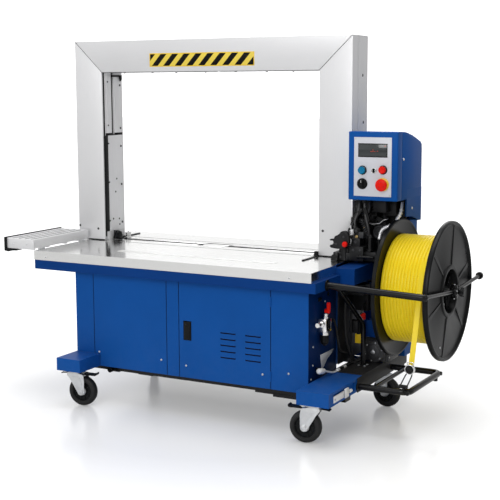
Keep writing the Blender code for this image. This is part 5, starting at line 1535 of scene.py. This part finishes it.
def buildFeeder():
    look = feederLook
    cast = bmesh.new()
    for low, high in look["castings"]:
        addBox(cast, low, high, 0.0026)
    addRings(cast, (0.624, 0.052, 0.59), toRear, [(0.027, 0), (0.03, 0.003), (0.03, 0.012), (0.028, 0.014),
        (0.028, 0.034), (0.025, 0.038)], 40)
    for prism in feederLook["castPrisms"]:
        addPrism(cast, *prism)
    newPiece("feederCastings", cast, blackCast, stands=("feeder_head",))

    arms = bmesh.new()
    for start, end, radius in (((0.556, -0.03, 0.62), (0.556, 0.07, 0.62), 0.006),
            ((0.548, 0.004, 0.648), (0.606, 0.004, 0.648), 0.0052),
            ((0.574, -0.04, 0.6), (0.574, 0.03, 0.6), 0.0085),
            ((0.548, -0.026, 0.578), (0.6, -0.026, 0.578), 0.0048),
            ((0.532, -0.028, 0.546), (0.532, -0.028, 0.58), 0.0065),
            ((0.544, -0.05, 0.536), (0.544, -0.004, 0.536), 0.0095),
            ((0.622, -0.036, 0.536), (0.622, -0.036, 0.584), 0.009),
            ((0.64, -0.01, 0.536), (0.64, -0.01, 0.572), 0.007),
            ((0.582, -0.052, 0.52), (0.64, -0.052, 0.52), 0.005),
            ((0.606, 0.03, 0.65), (0.606, 0.11, 0.65), 0.007)):
        addRod(arms, start, end, radius, 0.001, 20)
        addRings(arms, start, Vector(end) - Vector(start), [(radius * 1.35, 0.004),
            (radius * 1.35, 0.0075)], 20)
    for prism in feederLook["armPrisms"]:
        addPrism(arms, *prism)
    newPiece("feederArms", arms, blackPaint)

    strips = bmesh.new()
    for low, high in look["strips"]:
        addBox(strips, low, high, 0.0006)
    # The chute takes the strap from the reel side over the feed roller.
    chute = [(0.648, 0.632), (0.638, 0.63), (0.624, 0.618), (0.6, 0.614), (0.574, 0.618), (0.56, 0.626)]
    addPrism(strips, chute + [(x, z + 0.0016) for x, z in reversed(chute)], "Y", 0.032, 0.049)
    newPiece("feederStrips", strips, trackMetal)

    bolts = bmesh.new()
    for x, y, z, axis in feederLook["bolts"]:
        addBolt(bolts, (x, y, z), axis, 0.0032, 0.003)
    for x, y in feederLook["studs"]:
        addRod(bolts, (x, y, 0.58), (x, y, 0.59), 0.0036, 0.0006, 16)
    for spring in feederLook["boltSprings"]:
        addSpring(bolts, *spring)
    addRod(bolts, (0.548, -0.038, 0.546), (0.548, -0.038, 0.606), 0.0026, 0.0005, 16)
    newPiece("feederBolts", bolts, greyCast)

    hoses = bmesh.new()
    for route, radius in look["hoses"]:
        addTube(hoses, route, radius, 0.018, 14)
    newPiece("feederHoses", hoses, hoseRubber)
    flex = bmesh.new()
    route = roundedRoute([(0.69, 0.06, 0.69), (0.694, 0.04, 0.65), (0.676, 0.006, 0.618),
        (0.644, 0.0, 0.606), (0.64, -0.01, 0.574)], 0.03, 8)
    addTube(flex, route, 0.005, 0.0, 14, 1)
    for before, after in zip(route[::2], route[1::2]):
        addRings(flex, before, after - before, [(0.005, -0.0008), (0.0062, 0), (0.0062, 0.0016),
            (0.005, 0.0024)], 14)
    newPiece("feederConduit", flex, trackMetal)

    # A solenoid with two small sensors, and the brass unions.
    coil = bmesh.new()
    addRings(coil, (0.615, 0.1, 0.626), upward, [(0.012, 0), (0.013, 0.0014), (0.013, 0.03),
        (0.0115, 0.0316), (0.005, 0.032), (0.005, 0.04)], 28)
    for box in feederLook["coilBoxes"]:
        addBox(coil, *box, 0.0018)
    newPiece("feederCoil", coil, greyCast)
    brass = bmesh.new()
    for place, axis in feederLook["unions"]:
        addRings(brass, place, axis, [(-0.0066, 0), (-0.0066, 0.004), (0.0056, 0.0044), (0.0056, 0.008)], 24)
    newPiece("feederUnions", brass, brassMetal)

    wheel = bmesh.new()
    rings = [(0.0, 0.019), (0.006, 0.019), (0.007, 0.017), (0.015, 0.0165), (0.018, 0.0185),
        (0.0212, 0.0185), (0.022, 0.0175)]
    for step in range(7):
        rings += [(0.022, 0.016 - 0.002 * step), (0.0214, 0.015 - 0.002 * step)]
    rings += [(0.022, 0.0014), (0.021, 0.0004), (0.018, 0.0004), (0.015, 0.0024), (0.0, 0.0024)]
    addTurned(wheel, rings, (0.624, 0.03, 0.59), toRear, 40)
    for angle in around(5):
        addCap(wheel, (0.624 + 0.0108 * cos(angle), 0.0324, 0.59 + 0.0108 * sin(angle)), toFront, 0.0021,
            0.0012)
    newPiece("feedWheelLook", wheel, greyCast, "feed_wheel", ("feed_roller",))

    lever = bmesh.new()
    look = leverLook
    x, y, z = look["pivot"]
    addPrism(lever, look["outline"], "Y", y - 0.006, y + 0.006, 0.002)
    addPrism(lever, look["boss"], "Y", y - 0.0085, y - 0.005, 0.0012)
    newPiece("pinchLeverLook", lever, blackCast, "pinch", stands=("pinch_lever",))
    newPiece("pinchGrip", shaped(addRings, (x, y - 0.006, z), toFront,
        [(0.006, -0.001), (0.0062, 0.003), (0.008, 0.0042), (0.0088, 0.0062), (0.0088, 0.011),
        (0.0074, 0.0132), (0.0035, 0.014)], 28), redPlastic, "pinch")
    bolt = bmesh.new()
    addCap(bolt, (0.5443, y - 0.0085, 0.583), toFront, 0.0034, 0.002)
    addCap(bolt, (0.518, y - 0.006, 0.559), toFront, 0.0028, 0.0018)
    newPiece("pinchBolts", bolt, greyCast, "pinch")
    print("feeder ready")


# End bay: air service, pre-feed unit, wiring.

airLook = {
    "blockRings": (((0.546, -0.233, 0.335), toFront, [(0.011, 0), (0.011, 0.004), (-0.01, 0.0044),
        (-0.01, 0.012), (0.0075, 0.0124), (0.008, 0.034), (0.007, 0.035)], 24),
        ((0.546, -0.193, 0.335), toRear, [(-0.0095, 0), (-0.0095, 0.009), (0.007, 0.0094), (0.007, 0.022)],
        24), ((0.546, -0.206, 0.347), upward, [(0.011, 0), (0.011, 0.005), (0.0085, 0.006),
        (0.0085, 0.015)], 24), ((0.546, -0.213, 0.3065), downward,
        [(0.0125, 0), (0.014, 0.002), (0.014, 0.01), (0.0125, 0.011)], 32)),
    "bowlRings": (((0.546, -0.213, 0.296), downward, [(0.012, 0), (0.0128, 0.002), (0.0128, 0.022),
        (0.01, 0.029), (0.005, 0.031), (0.0045, 0.0338)], 32),
        ((0.56, -0.223, 0.316), toRight, [(0.0048, -0.001), (0.0048, 0.001)], 20),
        ((0.535, -0.18, 0.35), (0, 0.3, 1), [(0.006, 0), (0.0066, 0.004), (0.0066, 0.012), (0.005, 0.014)],
        20), ((0.546, -0.172, 0.335), toRear, [(0.0088, -0.004), (0.0092, 0), (0.008, 0.0018)], 24)),
}


def buildAir():
    block = bmesh.new()
    addBox(block, (0.529, -0.233, 0.306), (0.56, -0.193, 0.348), 0.003)
    for ring in airLook["blockRings"]:
        addRings(block, *ring)
    newPiece("airBlock", block, brightMetal, stands=("air_regulator",))
    bowl = bmesh.new()
    for ring in airLook["bowlRings"]:
        addRings(bowl, *ring)
    newPiece("airBowl", bowl, blackPlastic)

    lever = bmesh.new()
    addRings(lever, (0.546, -0.206, 0.37), toRight, [(0.0066, -0.0018), (0.007, -0.0008), (0.007, 0.012),
        (0.006, 0.0135)], 28)
    addPrism(lever, [(-0.211, 0.369), (-0.201, 0.369), (-0.1996, 0.39), (-0.2016, 0.3965), (-0.206, 0.3978),
        (-0.2104, 0.3965), (-0.2124, 0.39)], "X", 0.551, 0.5605, 0.0018)
    newPiece("airLeverLook", lever, redPlastic, "air_handle", stands=("air_lever",))

    newPiece("airHose", shaped(addTube, [(0.546, -0.17, 0.335), (0.546, -0.145, 0.333),
        (0.542, -0.118, 0.3), (0.542, -0.102, 0.25), (0.542, -0.09, 0.22), (0.556, -0.07, 0.21)], 0.0036,
        0.022), hoseRubber)
    print("air service ready")


bayLook = {
    "caseScrewRows": (0.034, 0.072, 0.11),
    "brackets": (((0.529, -0.078, 0.17), (0.534, 0.13, 0.438)), ((0.534, 0.03, 0.33), (0.59, 0.12, 0.42)),
        ((0.535, -0.05, 0.395), (0.605, 0.005, 0.43)), ((0.545, -0.02, 0.265), (0.575, 0.01, 0.305)),
        ((0.556, -0.032, 0.1665), (0.576, 0.11, 0.174))),
    "caseBoxes": (((0.581, 0.02, 0.167), (0.663, 0.124, 0.246), 0.005, 3),
        ((0.587, 0.011, 0.172), (0.657, 0.022, 0.24), 0.003)),
    "guardBoxes": (((0.595, 0.004, 0.252), (0.627, 0.008, 0.307)),
        ((0.595, 0.004, 0.252), (0.598, 0.12, 0.307))),
    "darkRods": (((0.572, -0.004, 0.26), (0.572, -0.004, 0.312), 0.0075),
        ((0.556, -0.03, 0.23), (0.556, -0.03, 0.34), 0.0042)),
    "darkBoxes": (((0.6484, -0.198, 0.122), (0.6516, 0.23, 0.1672), 0.001),
        ((0.545, -0.156, 0.1664), (0.6516, 0.014, 0.1688), 0.0006)),
    "wireTubes": (([(0.56, -0.03, 0.23), (0.56, -0.026, 0.19), (0.564, -0.01, 0.172), (0.578, 0.004, 0.17)],
        0.0022, 0.02), ([(0.544, -0.042, 0.4), (0.544, -0.056, 0.33), (0.548, -0.05, 0.24),
        (0.56, -0.036, 0.19), (0.564, -0.02, 0.172)], 0.0036, 0.04),
        ([(0.575, 0.0, 0.312), (0.58, 0.005, 0.34), (0.58, 0.03, 0.36)], 0.003, 0.02)),
    "plugRings": (((0.562, -0.152, 0.1714), (0.02, 1, 0), [(0.004, 0), (0.0048, 0.001), (0.0048, 0.015),
        (0.0036, 0.016)]), ((0.563, -0.106, 0.1714), (0.02, 1, 0),
        [(0.0036, 0), (0.0048, 0.001), (0.0048, 0.016), (0.004, 0.017)])),
}


def buildBay():
    case = bmesh.new()
    for box in bayLook["caseBoxes"]:
        addBox(case, *box)
    addRings(case, (0.622, 0.016, 0.205), toFront, [(0.035, 0), (0.036, 0.003), (0.036, 0.012),
        (0.0335, 0.015), (0.024, 0.0172), (0.023, 0.02), (0.021, 0.021)], 48)
    for step in range(6):
        addBox(case, (0.583 + 0.0132 * step, 0.03, 0.245), (0.5872 + 0.0132 * step, 0.116, 0.2496), 0.001)
    addRings(case, (0.622, 0.09, 0.246), upward, [(0.018, 0), (0.018, 0.003), (0.012, 0.0036)], 32)
    newPiece("prefeedCase", case, greyCast, stands=("prefeed_unit",))
    bolts = bmesh.new()
    for angle in around(6, 0.3):
        addCap(bolts, (0.622 + 0.0298 * cos(angle), 0.0004, 0.205 + 0.0298 * sin(angle)), toFront, 0.0028,
            0.002)
    for y in bayLook["caseScrewRows"]:
        for z in (0.184, 0.23):
            addCap(bolts, (0.663, y, z), toRight, 0.003, 0.0022)
    addBolt(bolts, (0.622, -0.005, 0.205), toFront, 0.005, 0.004)
    newPiece("prefeedBolts", bolts, zincMetal)

    # Sheet guards, brackets and black plumbing fill the space behind the reel.
    guards = bmesh.new()
    for box in bayLook["guardBoxes"]:
        addBox(guards, *box, 0.001)
    # The guards take the darker blue, a painted shade.
    newPiece("bayGuard", guards, bluePaintedShade)
    dark = bmesh.new()
    for low, high in bayLook["brackets"]:
        addBox(dark, low, high, 0.0022)
    for rod in bayLook["darkRods"]:
        addRod(dark, *rod)
    for box in bayLook["darkBoxes"]:
        addBox(dark, *box)
    newPiece("bayBrackets", dark, rubberBlack)
    newPiece("bayHandle", shaped(addPrism, [(0.574, 0.308), (0.596, 0.31), (0.596, 0.33), (0.588, 0.332),
        (0.574, 0.32)], "Y", -0.011, -0.001, 0.002), redPlastic)
    newPiece("bayRelay", shaped(addBox, (0.561, -0.01, 0.23), (0.585, 0.008, 0.261), 0.0016), yellowPlastic)

    wires = bmesh.new()
    for tube in bayLook["wireTubes"]:
        addTube(wires, *tube)
    newPiece("bayWires", wires, hoseRubber)

    plug = bmesh.new()
    addRings(plug, (0.55, -0.268, 0.193), (0.12, 1, -0.16), [(0.005, 0), (0.0085, 0.003), (0.01, 0.01),
        (0.01, 0.022), (0.008, 0.032), (0.004, 0.038)], 28)
    addTube(plug, [(0.554, -0.233, 0.187), (0.557, -0.21, 0.18), (0.56, -0.18, 0.1702),
        (0.562, -0.15, 0.1696)], 0.003, 0.02)
    for ring in bayLook["plugRings"]:
        addRings(plug, *ring, 20)
    newPiece("bayPlug", plug, whitePlastic)
    joint = bmesh.new()
    addRings(joint, (0.5624, -0.136, 0.1714), (0.02, 1, 0), [(0.0036, 0), (0.0044, 0.002), (0.0044, 0.028),
        (0.0036, 0.03)], 20)
    addTube(joint, [(0.5634, -0.089, 0.1714), (0.565, -0.07, 0.17), (0.568, -0.045, 0.172)], 0.0028, 0.015)
    addBox(joint, (0.529, -0.242, 0.186), (0.55, -0.234, 0.196), 0.001)
    newPiece("bayPlugJoint", joint, blackPlastic)
    newPiece("bayPlate", shaped(addPrism, [(-0.208, 0.229), (-0.108, 0.229), (-0.124, 0.217),
        (-0.156, 0.206), (-0.184, 0.185), (-0.198, 0.185)], "X", 0.5282, 0.53, 0.0006), trackMetal)
    cups = bmesh.new()
    addTurned(cups, [(0.007, 0), (0.007, 0.0016), (0.005, 0.0022), (0.0046, 0.001), (0, 0.001)],
        (0.528, -0.15, 0.412), toRight, 28)
    addBox(cups, (0.5282, -0.225, 0.4), (0.533, -0.205, 0.412), 0.0012)
    newPiece("bayGrommets", cups, blackPlastic)
    print("end bay ready")


# Drives inside the cabinet.

insideLook = {
    "headPins": (-0.05, 0.0, 0.05),
    "pulleys": (("camPulleyFace", "large_pulley", 0.0, 0.37, 0.056, 0.009),
        ("motorPulleyFace", "small_pulley", 0.2, 0.24, 0.026, 0.0078)),
}


def buildInside():
    fins = bmesh.new()
    for angle in around(20):
        if sin(angle) < -0.75:
            continue
        x, z = 0.2 + 0.0585 * cos(angle), 0.24 + 0.0585 * sin(angle)
        side = Vector((-sin(angle), cos(angle))) * 0.0012
        out = Vector((cos(angle), sin(angle))) * 0.003
        outline = [(x + side.x, z + side.y), (x + side.x + out.x, z + side.y + out.y),
            (x - side.x + out.x, z - side.y + out.y), (x - side.x, z - side.y)]
        addPrism(fins, outline, "Y", -0.06, 0.07)
    addTurned(fins, [(0.058, 0), (0.06, 0.003), (0.06, 0.022), (0.054, 0.029), (0.02, 0.03), (0, 0.03)],
              (0.2, -0.084, 0.24), toFront, 48)
    addBox(fins, (0.17, -0.03, 0.296), (0.23, 0.04, 0.322), 0.003)
    newPiece("motorShell", fins, greyCast)
    head = bmesh.new()
    for x in insideLook["headPins"]:
        addRod(head, (x, 0.01, 0.36), (x, -0.004, 0.36), 0.016, 0.0012, 32)
        addBox(head, (x - 0.018, 0.02, 0.438), (x + 0.018, 0.028, 0.47), 0.0012)
    for x in (-0.062, 0.062):
        for z in (0.315, 0.425):
            addCap(head, (x, 0.01, z), toFront, 0.005, 0.005)
    newPiece("sealingHeadParts", head, zincMetal)
    for name, body, x, z, radius, bore in insideLook["pulleys"]:
        face = bmesh.new()
        addTurned(face, [(bore, 0), (bore, 0.003), (bore + 0.008, 0.003), (bore + 0.009, 0.0006),
            (radius * 0.84, 0.0006), (radius * 0.88, 0.0014), (radius * 0.96, 0.0014), (radius, 0)],
            (x, 0.143, z), toRear, 48)
        for angle in around(3):
            reach = bore + 0.0048
            addCap(face, (x + reach * cos(angle), 0.1458, z + reach * sin(angle)), toRear, 0.002, 0.0012)
        newPiece(name, face, zincMetal, body)
    print("drives ready")


buildFeeder()
buildAir()
buildBay()
buildInside()

cadFinishes = {
    bluePaint: ("left_foot", "right_foot", "left_panel", "front_left_panel", "centre_post", "louvred_door",
                "right_panel", "rear_panel", "control_box", "control_post"),
    # The apron and end beam take the darker blue, a painted shade.
    bluePaintedShade: ("apron", "end_beam"),
    columnMetal: ("arch_left_column", "arch_right_column"),
    beamMetal: ("arch_top_beam", "side_leaf"),
    tableMetal: ("table_front_plate", "table_rear_plate", "centre_bed", "anvil"),
    blackPaint: ("base_frame", "cabinet_floor", "upper_reel_frame", "lower_guard_frame", "guide_arm"),
    blackCast: ("feeder_head", "pinch_lever"),
    greyCast: ("prefeed_unit", "drive_motor"),
    zincMetal: ("key_switch", "reel_shaft", "feed_roller", "sealing_head", "motor_pulley", "cam_pulley",
                "air_regulator", "front_left_fork", "front_right_fork", "rear_left_fork", "rear_right_fork"),
    rubberBlack: ("drive_belt", "front_left_wheel", "front_right_wheel", "rear_left_wheel",
        "rear_right_wheel"),
    blackPlastic: ("door_latch", "selector_knob", "reel_inner_flange", "reel_outer_flange", "reel_clamp_knob",
                   "front_left_brake", "front_right_brake"),
    strapYellow: ("strap_coil", "strap_tail"),
    redPlastic: ("reset_button", "estop_button", "air_lever"),
    bluePlastic: ("start_button",),
    foilGrey: ("panel_plate",),
}


def dressNodes():
    for material, names in cadFinishes.items():
        for name in names:
            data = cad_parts[name].data
            data.materials.clear()
            data.materials.append(material)
    print("parts painted")


dressNodes()
buildStage()
